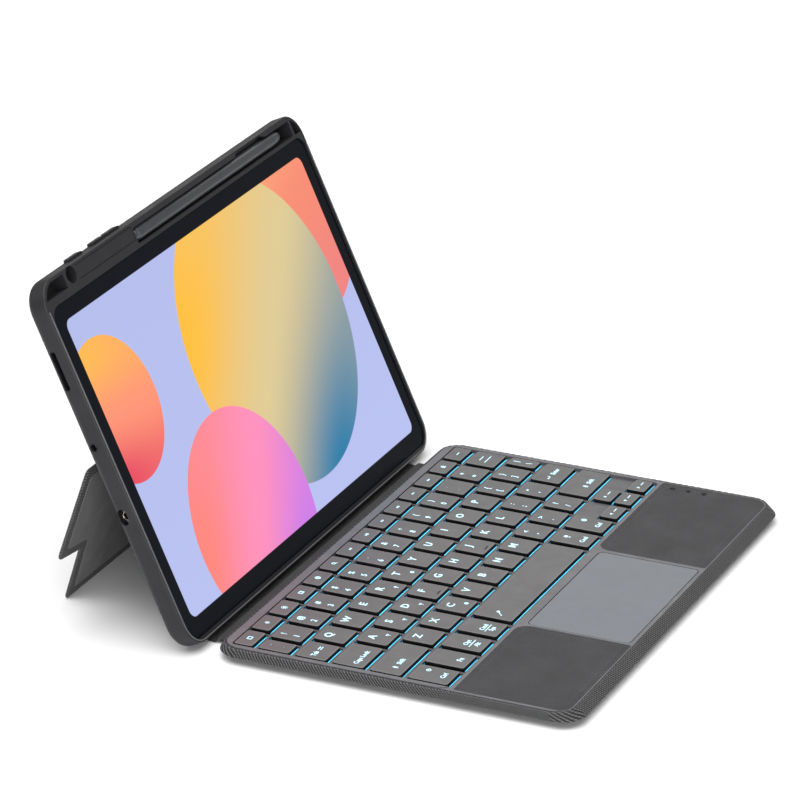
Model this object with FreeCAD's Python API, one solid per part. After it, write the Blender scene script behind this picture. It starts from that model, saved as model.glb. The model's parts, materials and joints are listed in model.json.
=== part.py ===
import FreeCAD, Part
import math
import os
from FreeCAD import Placement, Rotation, Vector

# Tablet keyboard case, standing open for typing.  Millimetres, +Z up, +X to the typist's right,
# +Y away from the typist.  Sizes are first laid out from the back edge of the key field
# (y = 0, on the table at z = 0); at the end every piece moves along Y so that the origin is
# the middle of the footprint.

# ---------------------------------------------------------------- keyboard base
BASE_HALF_WIDTH = 121.0
BASE_BACK = 8.0
BASE_FRONT = -155.7
BASE_CORNER = 11.0
BASE_BOTTOM = 1.2          # flat underside, carried by rubber feet
BASE_EDGE_LOW = 3.5        # widest line of the edge, above the undercut
UNDERCUT = 5.2
COVER_TOP = 7.2
SIDE_BEVEL = 0.8
FRONT_BEVEL = 4.6
BACK_BEVEL = 2.4
COVER_WALL = 1.2
COVER_FLOOR = 0.8
BASE_PIECE_GAP = 0.1

DECK_TOP = 7.2
DECK_BOTTOM = 5.9
RIM_TOP = 7.5
WELL_HALF_WIDTH = 116.3
WELL_BACK = 0.8
WELL_FRONT = -98.2
WELL_CORNER = 1.5
RIDGE_DEPTH = 3.6

PAD_THICKNESS = 0.5
PAD_BACK = -99.8
PAD_CORNER = 6.0
TOUCHPAD_X = -5.0
TOUCHPAD_WIDTH = 81.5
TOUCHPAD_BACK = -102.6
TOUCHPAD_DEPTH = 45.8
TOUCHPAD_CORNER = 2.2
TOUCHPAD_THICKNESS = 1.0
TOUCHPAD_GAP = 0.35
STRIP_LEFT = 1.7           # plain deck between the touchpad and the left palm rest
STRIP_RIGHT = 2.6

# ---------------------------------------------------------------- keys
FIELD_LEFT = -115.6
FIELD_RIGHT = 115.4
KEY_TOP = 7.8
KEY_HEIGHT = 2.2
KEY_SKIN = 0.8
KEY_FLARE = 0.25
KEY_CORNER = 1.1
KEY_EDGE = 0.25
KEY_CLEARANCE = 0.85
KEY_TRAVEL = 1.2
KEY_DEPTH = 13.65
FUNCTION_KEY_DEPTH = 8.3
FRONT_KEY_DEPTH = 17.6
ARROW_KEY_DEPTH = 8.1
ROW_PITCH = 16.85
NUMBER_ROW_BACK = -11.3
LETTER_KEY = 13.9
HOMING_BAR = (3.6, 0.45, 0.15)

FRAME_PLATE_TOP = 6.5
FRAME_PLATE_THICKNESS = 0.9
LIGHT_SHEET_TOP = 4.0
LIGHT_SHEET_THICKNESS = 0.25
KEY_PLATE_THICKNESS = 0.45
SUPPORT_TOP = 5.6
DOME_RADIUS = 1.75
SUPPORT_SIZE = (5.6, 5.4)
SUPPORT_WALL = 0.9

# ---------------------------------------------------------------- tablet and its shell
LEAN = 64.98               # lean of the screen above the table, degrees
SCREEN_FOOT_Y = 19.95      # bottom edge of the lit screen
SCREEN_FOOT_Z = 13.48
TABLET_HALF_WIDTH = 121.0
TABLET_LOW = -8.2
TABLET_HIGH = 143.3
TABLET_THICKNESS = 7.0
TABLET_CORNER = 6.5
GLASS_THICKNESS = 0.7
TABLET_GAP = 0.15
SHELL_HALF_WIDTH = 123.2
SHELL_LOW = -10.9
SHELL_HIGH = 155.0
SHELL_LIP = 0.9            # the shell stands this far proud of the glass
SHELL_BACK = 8.7
SHELL_CORNER = 12.0
SHELL_BACK_ROUND = 3.5
SHELL_LIP_ROUND = 0.7

PEN_MIDDLE = 148.6
PEN_RADIUS = 3.25
PEN_LEFT = -37.6
PEN_RIGHT = 108.2
PEN_AXIS_DEPTH = 3.1
PEN_SLOT_HALF = 3.6
PEN_SLOT_LEFT = -39.3
PEN_SLOT_RIGHT = 113.7
PEN_SLOT_DEPTH = 6.6
POCKET_DEPTH = 6.0
POCKET_LOW = 147.0
POCKET_HIGH = 153.2
LEFT_POCKET_RIGHT = -102.3
RIGHT_POCKET_LEFT = 115.7
RIGHT_POCKET_LOW = 144.9
RIGHT_POCKET_HIGH = 151.9
POCKET_OUTER = 121.5
EJECT_HOLE_X = -96.3
EJECT_HOLE_Y = 150.9
EJECT_HOLE_RADIUS = 3.8
FINGER_CUT = (60.0, 84.0)
PANEL_LINES = (-91.3, -40.3)
PANEL_LINE_LOW = 147.3
PANEL_LINE_HIGH = 153.3
LINE_WIDTH = 0.35
LINE_DEPTH = 0.3

BUTTON_SPANS = {"power_button_cover": (-88.2, -76.8),
                "volume_up_cover": (-67.0, -56.0),
                "volume_down_cover": (-54.6, -43.2)}
BUTTON_DEPTH = (2.6, 5.6)
BUTTON_PROUD = 1.1
BUTTON_TRAVEL = 0.5
BUTTON_GAP = 0.3

SPEAKER = (109.5, 127.0, 3.9, 6.6)          # from, to along the side; depth behind the glass
MICROPHONE = (83.7, 4.8, 1.5)               # place, depth, radius
JACK = (52.0, 5.2, 7.2, 4.4)                # place, depth, length, width
CHARGE_SOCKET = (68.0, 4.6, 11.0, 4.8)
SLOT_REACH = 3.0
CAMERA_X = 104.0
CAMERA_Y = 131.0
CAMERA_WINDOW = 7.0

# ---------------------------------------------------------------- back panel, kickstand, spine
PANEL_THICKNESS = 1.9
PANEL_HALF_WIDTH = 115.0
PANEL_HIGH = 151.0
PANEL_CORNER = 8.0
STAND_HINGE_UP = 82.4
STAND_OPEN = 43.4          # angle between the leg and the back, degrees
STAND_MORE = 26.0
STAND_LIFT = 0.2
STAND_STRIP = 11.3         # soft hinge strip above the leg's board
STAND_STRIP_HALF = 104.0
STAND_EAR_HEIGHT = 30.5
STAND_NOTCH_HEIGHT = 27.0
STAND_FOOT_HALF = 91.0
STAND_NECK_HALF = 93.4
STAND_CORNER = 2.2
STAND_LINING = 0.4

SPINE_HALF_WIDTH = 104.0
SPINE_THICKNESS = 0.7
SPINE_AXIS_Y = 8.0
SPINE_AXIS_Z = 2.2
HOLDER_AXIS_UP = -10.5
HOLDER_AXIS_BACK = 6.0
STRAP_LOW = -7.3
STRAP_HIGH = -5.6
STRAP_THICKNESS = 0.8

SCREW_PLACES = (-100.0, -50.0, 0.0, 50.0, 100.0)
SCREW_Y = 2.7
SCREW_RADIUS = 0.7
SCREW_BOSS = 1.5
SCREW_TOP = 6.6

FOOT_SIZE = (46.0, 7.0)
FOOT_X = 84.0
FOOT_FRONT_Y = -139.0
FOOT_BACK_Y = -8.0


def outline(left, right, front, back, corner, z):
    """Closed wire: a rectangle with four round corners, counted from the front left."""
    r = corner
    k = r * (1.0 - math.sqrt(0.5))
    p = [Vector(left + r, front, z), Vector(right - r, front, z),
         Vector(right, front + r, z), Vector(right, back - r, z),
         Vector(right - r, back, z), Vector(left + r, back, z),
         Vector(left, back - r, z), Vector(left, front + r, z)]
    mid = [Vector(right - k, front + k, z), Vector(right - k, back - k, z),
           Vector(left + k, back - k, z), Vector(left + k, front + k, z)]
    edges = []
    for i in range(4):
        a, b, c = p[2 * i], p[2 * i + 1], p[(2 * i + 2) % 8]
        edges.append(Part.LineSegment(a, b).toShape())
        edges.append(Part.Arc(b, mid[i], c).toShape())
    return Part.Wire(edges)


def plate(left, right, front, back, low, high, corner=0.0):
    """Flat plate with round corners in plan."""
    if corner <= 0.0:
        return Part.makeBox(right - left, back - front, high - low, Vector(left, front, low))
    return Part.Face(outline(left, right, front, back, corner, low)).extrude(Vector(0, 0, high - low))


def disc(x, y, radius, low, high):
    return Part.makeCylinder(radius, high - low, Vector(x, y, low))


def level_edges(shape, z):
    """The edges of a shape that lie wholly in the plane at height z."""
    return [e for e in shape.Edges if all(abs(v.Z - z) < 1e-6 for v in e.Vertexes)
            and abs(e.BoundBox.ZMax - z) < 1e-6 and abs(e.BoundBox.ZMin - z) < 1e-6]


# ---------------------------------------------------------------- the base
def base_section(inset_side, inset_front, inset_back, corner, z):
    return outline(-BASE_HALF_WIDTH + inset_side, BASE_HALF_WIDTH - inset_side,
                   BASE_FRONT + inset_front, BASE_BACK - inset_back, corner, z)


def base_cover():
    """Fabric-wrapped board: underside, undercut edge and bevelled border in one tray."""
    sections = [base_section(UNDERCUT, UNDERCUT, UNDERCUT, BASE_CORNER - 4.0, BASE_BOTTOM),
                base_section(0.0, 0.0, 0.0, BASE_CORNER, BASE_EDGE_LOW),
                base_section(SIDE_BEVEL, FRONT_BEVEL, BACK_BEVEL, BASE_CORNER - 2.0, COVER_TOP)]
    body = Part.makeLoft(sections, True, True)
    side = SIDE_BEVEL + COVER_WALL
    deep = UNDERCUT + 0.2
    hollow = Part.makeLoft([base_section(deep, deep, deep, BASE_CORNER - 5.0,
                                         BASE_BOTTOM + COVER_FLOOR),
                            base_section(side, side, side, BASE_CORNER - 2.0, BASE_EDGE_LOW)],
                           True, True)
    upper = plate(-BASE_HALF_WIDTH + side, BASE_HALF_WIDTH - side, DECK_FRONT, DECK_BACK,
                  BASE_EDGE_LOW - 0.1, COVER_TOP + 1.0, DECK_CORNER)
    body = body.cut(hollow).cut(upper)
    return body.cut(switch_room()).cut(socket_room())


DECK_FRONT = BASE_FRONT + FRONT_BEVEL + 0.4
DECK_BACK = BASE_BACK - BACK_BEVEL - 0.9
DECK_CORNER = 8.0
DECK_HALF_WIDTH = BASE_HALF_WIDTH - SIDE_BEVEL - COVER_WALL - BASE_PIECE_GAP


def touchpad_sides(grow):
    half = TOUCHPAD_WIDTH / 2.0 + grow
    return (TOUCHPAD_X - half, TOUCHPAD_X + half,
            TOUCHPAD_BACK - TOUCHPAD_DEPTH - grow, TOUCHPAD_BACK + grow)


def palm_rest(side):
    """Soft pad beside the touchpad; its inner back corner is round, the rest nearly square."""
    if side < 0:
        left, right = -DECK_HALF_WIDTH + 1.4, touchpad_sides(0.0)[0] - STRIP_LEFT
    else:
        left, right = touchpad_sides(0.0)[1] + STRIP_RIGHT, DECK_HALF_WIDTH - 0.5
    front, back = DECK_FRONT + 0.6, PAD_BACK
    low, high = DECK_TOP - PAD_THICKNESS, DECK_TOP
    pad = plate(left, right, front, back, low, high, 1.2)
    pad = pad.common(plate(-DECK_HALF_WIDTH + 0.6, DECK_HALF_WIDTH - 0.6, DECK_FRONT + 0.6, 0.0,
                           low, high, DECK_CORNER - 0.6))
    inner_x = right if side < 0 else left
    corner = plate(min(inner_x, inner_x + side * PAD_CORNER), max(inner_x, inner_x + side * PAD_CORNER),
                   back - PAD_CORNER, back, low, high)
    rounding = disc(inner_x + side * PAD_CORNER, back - PAD_CORNER, PAD_CORNER, low, high)
    pad = pad.cut(corner.cut(rounding))
    for y in LED_PLACES:
        pad = pad.cut(disc(LED_X, y, LED_RADIUS + 0.05, low - 1.0, high + 1.0))
    return pad


def top_case():
    """Moulded top: deck, raised ridge round the key well, touchpad window, pad recesses."""
    body = plate(-DECK_HALF_WIDTH, DECK_HALF_WIDTH, DECK_FRONT + 0.1, DECK_BACK - 0.1,
                 DECK_BOTTOM, DECK_TOP, DECK_CORNER)
    ridge = plate(-DECK_HALF_WIDTH + 0.1, DECK_HALF_WIDTH - 0.1, WELL_FRONT - 1.0,
                  WELL_BACK + RIDGE_DEPTH, DECK_TOP - 0.2, RIM_TOP, DECK_CORNER)
    ridge = ridge.cut(plate(-200, 200, WELL_FRONT - 5.0, WELL_FRONT, 0, 20))
    body = body.fuse(ridge)
    body = body.cut(plate(-WELL_HALF_WIDTH, WELL_HALF_WIDTH, WELL_FRONT, WELL_BACK,
                          0, 20, WELL_CORNER))
    body = body.cut(plate(*touchpad_sides(TOUCHPAD_GAP), 0, 20, TOUCHPAD_CORNER + TOUCHPAD_GAP))
    for side in (-1, 1):
        body = body.cut(palm_rest(side))
    for y in LED_PLACES:
        body = body.cut(disc(LED_X, y, LED_RADIUS + 0.05, 0, 20))
    for x in SCREW_PLACES:
        body = body.fuse(disc(x, SCREW_Y, SCREW_BOSS, LIGHT_SHEET_TOP, DECK_BOTTOM + 0.1))
        body = body.cut(disc(x, SCREW_Y, SCREW_RADIUS, 0, SCREW_TOP))
    return body.removeSplitter()


def touchpad():
    return plate(*touchpad_sides(0.0), DECK_TOP - TOUCHPAD_THICKNESS, DECK_TOP, TOUCHPAD_CORNER)


def touchpad_bracket():
    """Sheet-metal cradle under the touchpad, with the click switch in its middle."""
    left, right, front, back = touchpad_sides(2.0)
    tray = plate(left, right, front, back, 4.2, 4.8, 2.0)
    tray = tray.cut(plate(left + 12, right - 12, front + 10, back - 10, 0, 20, 2.0))
    bar = plate(TOUCHPAD_X - 5, TOUCHPAD_X + 5, front + 1, back - 1, 4.2, 4.8)
    switch = disc(TOUCHPAD_X, (front + back) / 2.0, 1.6, 4.8, DECK_TOP - TOUCHPAD_THICKNESS - 0.35)
    return tray.fuse(bar).fuse(switch)


LED_X = 113.2
LED_PLACES = (-109.6, -117.0, -124.4)
LED_RADIUS = 0.45


def status_leds():
    return Part.makeCompound([disc(LED_X, y, LED_RADIUS, DECK_BOTTOM, DECK_TOP + 0.05)
                              for y in LED_PLACES])


# ---------------------------------------------------------------- keys and what is under them
def spans(widths):
    """Left and right of each key in a row that fills the key field with equal gaps."""
    gap = (FIELD_RIGHT - FIELD_LEFT - sum(widths)) / (len(widths) - 1)
    result = []
    x = FIELD_LEFT
    for width in widths:
        result.append((x, x + width))
        x += width + gap
    return result


FUNCTION_GAP = 2.65
FUNCTION_KEY = (FIELD_RIGHT - FIELD_LEFT - 13 * FUNCTION_GAP) / 14.0
ROW_WIDTHS = [[FUNCTION_KEY] * 14,
              [9.1] + [LETTER_KEY] * 12 + [15.0],
              [15.0] + [LETTER_KEY] * 12 + [8.0],
              [20.8] + [LETTER_KEY] * 11 + [19.6],
              [29.6] + [LETTER_KEY] * 10 + [27.9],
              [13.8, 13.8, 13.2, 13.4, 81.2, 13.4, 13.4, 13.2, 12.9, 12.1]]
ROW_GROUPS = [[("function_keys", 14)],
              [("number_keys", 13), ("backspace_key", 1)],
              [("tab_key", 1), ("top_letter_keys", 12), ("backslash_key", 1)],
              [("caps_lock_key", 1), ("home_letter_keys", 11), ("enter_key", 1)],
              [("left_shift_key", 1), ("bottom_letter_keys", 10), ("right_shift_key", 1)],
              [("control_key", 1), ("fn_key", 1), ("option_key", 1), ("command_key", 1),
               ("space_key", 1), ("right_command_key", 1), ("right_control_key", 1),
               ("left_arrow_key", 1), ("down_arrow_key", 1), ("right_arrow_key", 1)]]
HOMING_KEYS = (3, 6)


def key_places():
    """Every key as (node, left, right, front, back), row by row from the back."""
    places = []
    for row, widths in enumerate(ROW_WIDTHS):
        back = 0.0 if row == 0 else NUMBER_ROW_BACK - ROW_PITCH * (row - 1)
        depth = {0: FUNCTION_KEY_DEPTH, 5: FRONT_KEY_DEPTH}.get(row, KEY_DEPTH)
        names = [name for name, count in ROW_GROUPS[row] for _ in range(count)]
        for name, (left, right) in zip(names, spans(widths)):
            front = back - depth
            if name == "down_arrow_key":
                places.append(("up_arrow_key", left, right, back - ARROW_KEY_DEPTH, back))
            top = front + ARROW_KEY_DEPTH if "arrow" in name else back
            places.append((name, left, right, front, top))
    return places


def key_cap(left, right, front, back):
    """Hollow cap: flared skirt, flat top, small bevel round the top edge."""
    low, shoulder = KEY_TOP - KEY_HEIGHT, KEY_TOP - KEY_EDGE
    f, e = KEY_FLARE, KEY_EDGE
    body = Part.makeLoft([outline(left - f, right + f, front - f, back + f, KEY_CORNER, low),
                          outline(left, right, front, back, KEY_CORNER, shoulder),
                          outline(left + e, right - e, front + e, back - e,
                                  KEY_CORNER - e, KEY_TOP)], True, True)
    s = KEY_SKIN
    return body.cut(plate(left + s, right - s, front + s, back - s, low - 1.0, KEY_TOP - s, 0.6))


def keys():
    """One group of separate caps for each key node."""
    groups = {}
    for name, left, right, front, back in key_places():
        cap = key_cap(left, right, front, back)
        members = groups.setdefault(name, [])
        if name == "home_letter_keys" and len(members) in HOMING_KEYS:
            length, width, height = HOMING_BAR
            bar = plate((left + right - length) / 2.0, (left + right + length) / 2.0,
                        front + 1.6, front + 1.6 + width, KEY_TOP - 0.1, KEY_TOP + height)
            cap = cap.fuse(bar)
        members.append(cap)
    return {name: Part.makeCompound(caps) for name, caps in groups.items()}


def key_frame():
    """Web between the keys: a plate with one window for each key."""
    body = plate(-WELL_HALF_WIDTH + 0.1, WELL_HALF_WIDTH - 0.1, WELL_FRONT + 0.1, WELL_BACK - 0.1,
                 FRAME_PLATE_TOP - FRAME_PLATE_THICKNESS, FRAME_PLATE_TOP, WELL_CORNER)
    c = KEY_CLEARANCE
    windows = []
    for name, left, right, front, back in key_places():
        reach = ARROW_GAP if name == "down_arrow_key" else c
        windows.append(plate(left - c, right + c, max(front - c, WELL_FRONT + 0.5),
                             min(back + reach, WELL_BACK - 0.4), 0, 20))
    return body.cut(Part.makeCompound(windows))


ARROW_GAP = FRONT_KEY_DEPTH - 2 * ARROW_KEY_DEPTH


def light_sheet():
    """Clear light guide under the keys, with the lamp strip along its back edge."""
    return plate(-WELL_HALF_WIDTH + 0.4, WELL_HALF_WIDTH - 0.4, WELL_FRONT + 0.3, WELL_BACK - 0.3,
                 LIGHT_SHEET_TOP - LIGHT_SHEET_THICKNESS, LIGHT_SHEET_TOP)


def key_plate():
    """Pressed aluminium sheet that carries the key mechanisms, with a screwed border."""
    top = LIGHT_SHEET_TOP - LIGHT_SHEET_THICKNESS
    low = top - KEY_PLATE_THICKNESS
    body = plate(-WELL_HALF_WIDTH + 0.4, WELL_HALF_WIDTH - 0.4, WELL_FRONT + 0.3,
                 SCREW_Y + SCREW_BOSS, low, top, 4.0)
    for x in SCREW_PLACES:
        body = body.cut(disc(x, SCREW_Y, SCREW_RADIUS, 0, 20))
    return body


def key_middles():
    """Where the mechanisms stand: one under each key, two under a long one."""
    middles = []
    for _, left, right, front, back in key_places():
        y = (front + back) / 2.0
        if right - left > 40.0:
            quarter = (right - left) / 4.0
            middles += [(left + quarter, y), ((left + right) / 2.0, y), (right - quarter, y)]
        else:
            middles.append(((left + right) / 2.0, y))
    return middles


def scissor_supports():
    """Scissor frames, drawn folded as they are under a pressed key."""
    frames = []
    width, depth = SUPPORT_SIZE
    for x, y in key_middles():
        ring = plate(x - width / 2, x + width / 2, y - depth / 2, y + depth / 2,
                     LIGHT_SHEET_TOP, LIGHT_SHEET_TOP + 0.9)
        w = SUPPORT_WALL
        hole = plate(x - width / 2 + w, x + width / 2 - w, y - depth / 2 + w * 0.5,
                     y + depth / 2 - w * 0.5, 0, 20)
        frames.append(ring.cut(hole))
    return Part.makeCompound(frames)


def rubber_domes():
    """Collapsed silicone domes inside the scissor frames."""
    return Part.makeCompound([Part.makeCone(DOME_RADIUS, DOME_RADIUS * 0.6,
                                            SUPPORT_TOP - 0.1 - LIGHT_SHEET_TOP,
                                            Vector(x, y, LIGHT_SHEET_TOP))
                              for x, y in key_middles()])


# ---------------------------------------------------------------- inside the base
def circuit_board():
    floor = BASE_BOTTOM + COVER_FLOOR
    board = plate(40.0, 112.0, -140.0, -106.0, floor + 0.6, floor + 1.4, 1.5)
    chips = [plate(52.0, 60.0, -130.0, -122.0, floor + 1.4, floor + 2.3),
             plate(70.0, 76.0, -128.0, -122.0, floor + 1.4, floor + 2.2),
             plate(88.0, 98.0, -116.0, -111.0, floor + 1.4, floor + 2.4)]
    posts = [disc(x, y, 1.6, floor, floor + 0.6) for x in (43.0, 109.0) for y in (-137.0, -109.0)]
    return board.multiFuse(chips + posts)


def battery():
    floor = BASE_BOTTOM + COVER_FLOOR
    return plate(-112.0, -58.0, -142.0, -106.0, floor, floor + 3.0, 1.5)


def base_magnets():
    """Closing magnets in the front edge of the base."""
    floor = BASE_BOTTOM + COVER_FLOOR
    return Part.makeCompound([plate(x - 9.0, x + 9.0, -148.8, -145.2, floor, floor + 1.8)
                              for x in (-92.0, 92.0)])


def base_feet():
    width, depth = FOOT_SIZE
    feet = []
    for x in (-FOOT_X, FOOT_X):
        for y in (FOOT_FRONT_Y, FOOT_BACK_Y):
            feet.append(plate(x - width / 2, x + width / 2, y - depth / 2, y + depth / 2,
                              0.0, BASE_BOTTOM, depth / 2 - 0.1))
    return Part.makeCompound(feet)


def case_screws():
    """Small screws up through the key plate's border into the top case."""
    under = LIGHT_SHEET_TOP - LIGHT_SHEET_THICKNESS - KEY_PLATE_THICKNESS
    screws = []
    for x in SCREW_PLACES:
        shank = disc(x, SCREW_Y, SCREW_RADIUS, under, SCREW_TOP)
        head = disc(x, SCREW_Y, SCREW_RADIUS * 1.9, under - 0.6, under)
        screws.append(head.fuse(shank))
    return Part.makeCompound(screws)


SWITCH_Y = -30.0
SWITCH_TRAVEL = 2.0
SOCKET_Y = -14.0


def switch_room():
    return plate(BASE_HALF_WIDTH - 4.6, BASE_HALF_WIDTH + 2.0, SWITCH_Y - 4.6, SWITCH_Y + 4.6, 4.2, 6.4)


def socket_room():
    return plate(BASE_HALF_WIDTH - 4.6, BASE_HALF_WIDTH + 2.0, SOCKET_Y - 4.6, SOCKET_Y + 4.6, 4.0, 6.5)


def power_switch():
    """Slide switch in the right edge: knob and the slider behind it."""
    y = SWITCH_Y - SWITCH_TRAVEL / 2.0
    slider = plate(BASE_HALF_WIDTH - 3.6, BASE_HALF_WIDTH - 1.7, y - 2.6, y + 2.6, 4.5, 5.7)
    knob = plate(BASE_HALF_WIDTH - 1.8, BASE_HALF_WIDTH - 0.2, y - 1.6, y + 1.6, 4.6, 5.6)
    return slider.fuse(knob)


def charging_socket():
    """Socket for the charging lead, set in the right edge."""
    x = BASE_HALF_WIDTH - 4.5
    body = plate(x, BASE_HALF_WIDTH - 0.6, SOCKET_Y - 4.5, SOCKET_Y + 4.5, 4.05, 5.85)
    mouth = plate(x + 0.8, BASE_HALF_WIDTH + 1.0, SOCKET_Y - 4.0, SOCKET_Y + 4.0, 4.3, 5.6)
    tongue = plate(x + 0.4, BASE_HALF_WIDTH - 1.4, SOCKET_Y - 3.0, SOCKET_Y + 3.0, 4.75, 5.15)
    return body.cut(mouth).fuse(tongue)


# ---------------------------------------------------------------- the tablet holder
# Pieces of the holder are laid out flat: x across, y up the screen from the lit area's bottom
# edge, z out of the glass.  lean() then stands them up.
def lean(shape):
    shape = shape.copy()
    turn = Placement(Vector(0, SCREEN_FOOT_Y, SCREEN_FOOT_Z), Rotation(Vector(1, 0, 0), LEAN))
    shape.transformShape(turn.toMatrix())
    return shape


def lean_point(up, back):
    """Row-frame y and z of a point given up the screen and back from the glass."""
    a = math.radians(LEAN)
    return (SCREEN_FOOT_Y + up * math.cos(a) + back * math.sin(a),
            SCREEN_FOOT_Z + up * math.sin(a) - back * math.cos(a))


def side_slot(side, low, high, near, far, corner):
    """A through slot in a side wall, from near to far behind the glass."""
    slot = plate(low, high, near, far, -SLOT_REACH, SLOT_REACH, corner)
    # drawn as (along the side, behind the glass) and turned so that it runs through the wall
    turned = Placement(Vector(SHELL_HALF_WIDTH * side, 0, 0),
                       Rotation(Vector(0, 1, 0), Vector(0, 0, -1), Vector(-1, 0, 0), "XYZ"))
    slot.transformShape(turned.toMatrix())
    return slot


def corner_pocket(side, inner_x, low, high):
    """Blind pocket in a top corner; its outer wall follows the shell's round corner."""
    x0, x1 = sorted((inner_x, side * POCKET_OUTER))
    block = plate(x0, x1, low, high, SHELL_LIP - POCKET_DEPTH, SHELL_LIP + 1.0)
    wall = SHELL_HALF_WIDTH - POCKET_OUTER
    inside = plate(-POCKET_OUTER, POCKET_OUTER, SHELL_LOW + wall, SHELL_HIGH - wall,
                   -20, 20, SHELL_CORNER - wall)
    tablet_corner = plate(-TABLET_HALF_WIDTH - 1.6, TABLET_HALF_WIDTH + 1.6, TABLET_LOW,
                          TABLET_HIGH + 1.6, -20, 20, TABLET_CORNER + 1.6)
    return block.common(inside).cut(tablet_corner)


def finger_cut():
    """Scoop in the wall above the pen, with an easy wave at its right end."""
    left, right = FINGER_CUT
    top = PEN_MIDDLE + PEN_SLOT_HALF - 0.2
    high = SHELL_HIGH - 0.8
    points = [Vector(left, top, 0), Vector(left + 2.5, high, 0), Vector(right, high, 0)]
    edges = [Part.LineSegment(points[0], points[1]).toShape(),
             Part.LineSegment(points[1], points[2]).toShape()]
    wave = Part.BezierCurve()
    wave.setPoles([points[2], Vector(right + 4.5, high, 0), Vector(right + 4.5, top, 0),
                   Vector(right + 9.0, top, 0)])
    edges.append(wave.toShape())
    edges.append(Part.LineSegment(Vector(right + 9.0, top, 0), points[0]).toShape())
    face = Part.Face(Part.Wire(edges))
    face.translate(Vector(0, 0, SHELL_LIP - 3.2))
    return face.extrude(Vector(0, 0, 6.0))


def shell():
    """Soft moulded shell round the tablet, with the pen holder along its top."""
    body = plate(-SHELL_HALF_WIDTH, SHELL_HALF_WIDTH, SHELL_LOW, SHELL_HIGH,
                 -SHELL_BACK, SHELL_LIP, SHELL_CORNER)
    body = body.makeFillet(SHELL_BACK_ROUND, level_edges(body, -SHELL_BACK))
    body = body.makeFillet(SHELL_LIP_ROUND, level_edges(body, SHELL_LIP))
    g = TABLET_GAP
    cuts = [plate(-TABLET_HALF_WIDTH - g, TABLET_HALF_WIDTH + g, TABLET_LOW - g, TABLET_HIGH + g,
                  -TABLET_THICKNESS - 0.1, 5.0, TABLET_CORNER + g)]
    cuts.append(plate(PEN_SLOT_LEFT, PEN_SLOT_RIGHT, PEN_MIDDLE - PEN_SLOT_HALF,
                      PEN_MIDDLE + PEN_SLOT_HALF, SHELL_LIP - PEN_SLOT_DEPTH - 0.9, 5.0, 0.8))
    cuts.append(finger_cut())
    cuts.append(corner_pocket(-1, LEFT_POCKET_RIGHT, POCKET_LOW, POCKET_HIGH))
    cuts.append(corner_pocket(1, RIGHT_POCKET_LEFT, RIGHT_POCKET_LOW, RIGHT_POCKET_HIGH))
    cuts.append(disc(EJECT_HOLE_X, EJECT_HOLE_Y, EJECT_HOLE_RADIUS, SHELL_LIP - POCKET_DEPTH, 5.0))
    left, right = PANEL_LINES
    floor = SHELL_LIP - LINE_DEPTH
    for y in (PANEL_LINE_LOW, PANEL_LINE_HIGH):
        cuts.append(plate(left, right, y - LINE_WIDTH / 2, y + LINE_WIDTH / 2, floor, 5.0))
    cuts.append(plate(right, right + LINE_WIDTH, PANEL_LINE_LOW, PANEL_LINE_HIGH, floor, 5.0))
    cuts.append(side_slot(-1, SPEAKER[0], SPEAKER[1], SPEAKER[2], SPEAKER[3], 1.2))
    cuts.append(side_slot(1, SPEAKER[0], SPEAKER[1], SPEAKER[2], SPEAKER[3], 1.2))
    up, back, radius = MICROPHONE
    cuts.append(side_slot(-1, up - radius, up + radius, back - radius, back + radius, radius - 0.01))
    up, back, length, width = JACK
    cuts.append(side_slot(-1, up - length / 2, up + length / 2, back - width / 2,
                          back + width / 2, width / 2 - 0.01))
    up, back, length, width = CHARGE_SOCKET
    cuts.append(side_slot(1, up - length / 2, up + length / 2, back - width / 2,
                          back + width / 2, width / 2 - 0.01))
    cuts.append(disc(CAMERA_X, CAMERA_Y, CAMERA_WINDOW, -20, -TABLET_THICKNESS + 1.0))
    near, far = BUTTON_DEPTH
    for low, high in BUTTON_SPANS.values():
        cuts.append(plate(low - BUTTON_GAP, high + BUTTON_GAP, SHELL_HIGH - 1.4, SHELL_HIGH + 3.0,
                          -far - BUTTON_GAP, -near + BUTTON_GAP, 0.9))
    return body.cut(Part.makeCompound(cuts))


def button(span):
    low, high = span
    near, far = BUTTON_DEPTH
    return plate(low, high, SHELL_HIGH - 1.4 + BUTTON_TRAVEL + 0.2, SHELL_HIGH + BUTTON_PROUD,
                 -far, -near, 0.8)


def back_panel():
    """Fabric-covered board on the upper half of the shell's back, with a camera window."""
    body = plate(-PANEL_HALF_WIDTH, PANEL_HALF_WIDTH, STAND_HINGE_UP + 0.5, PANEL_HIGH,
                 -SHELL_BACK - PANEL_THICKNESS, -SHELL_BACK, PANEL_CORNER)
    square = plate(-PANEL_HALF_WIDTH, PANEL_HALF_WIDTH, STAND_HINGE_UP + 0.5, STAND_HINGE_UP + 12.0,
                   -SHELL_BACK - PANEL_THICKNESS, -SHELL_BACK, 2.0)
    window = disc(CAMERA_X, CAMERA_Y, CAMERA_WINDOW + 0.6, -20, 0)
    return body.fuse(square).cut(window).removeSplitter()


def spine_strap():
    """Edge of the spine fabric, bonded along the bottom of the shell's back."""
    return plate(-SPINE_HALF_WIDTH, SPINE_HALF_WIDTH, STRAP_LOW, STRAP_HIGH,
                 -SHELL_BACK - STRAP_THICKNESS, -SHELL_BACK, 0.5)


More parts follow.
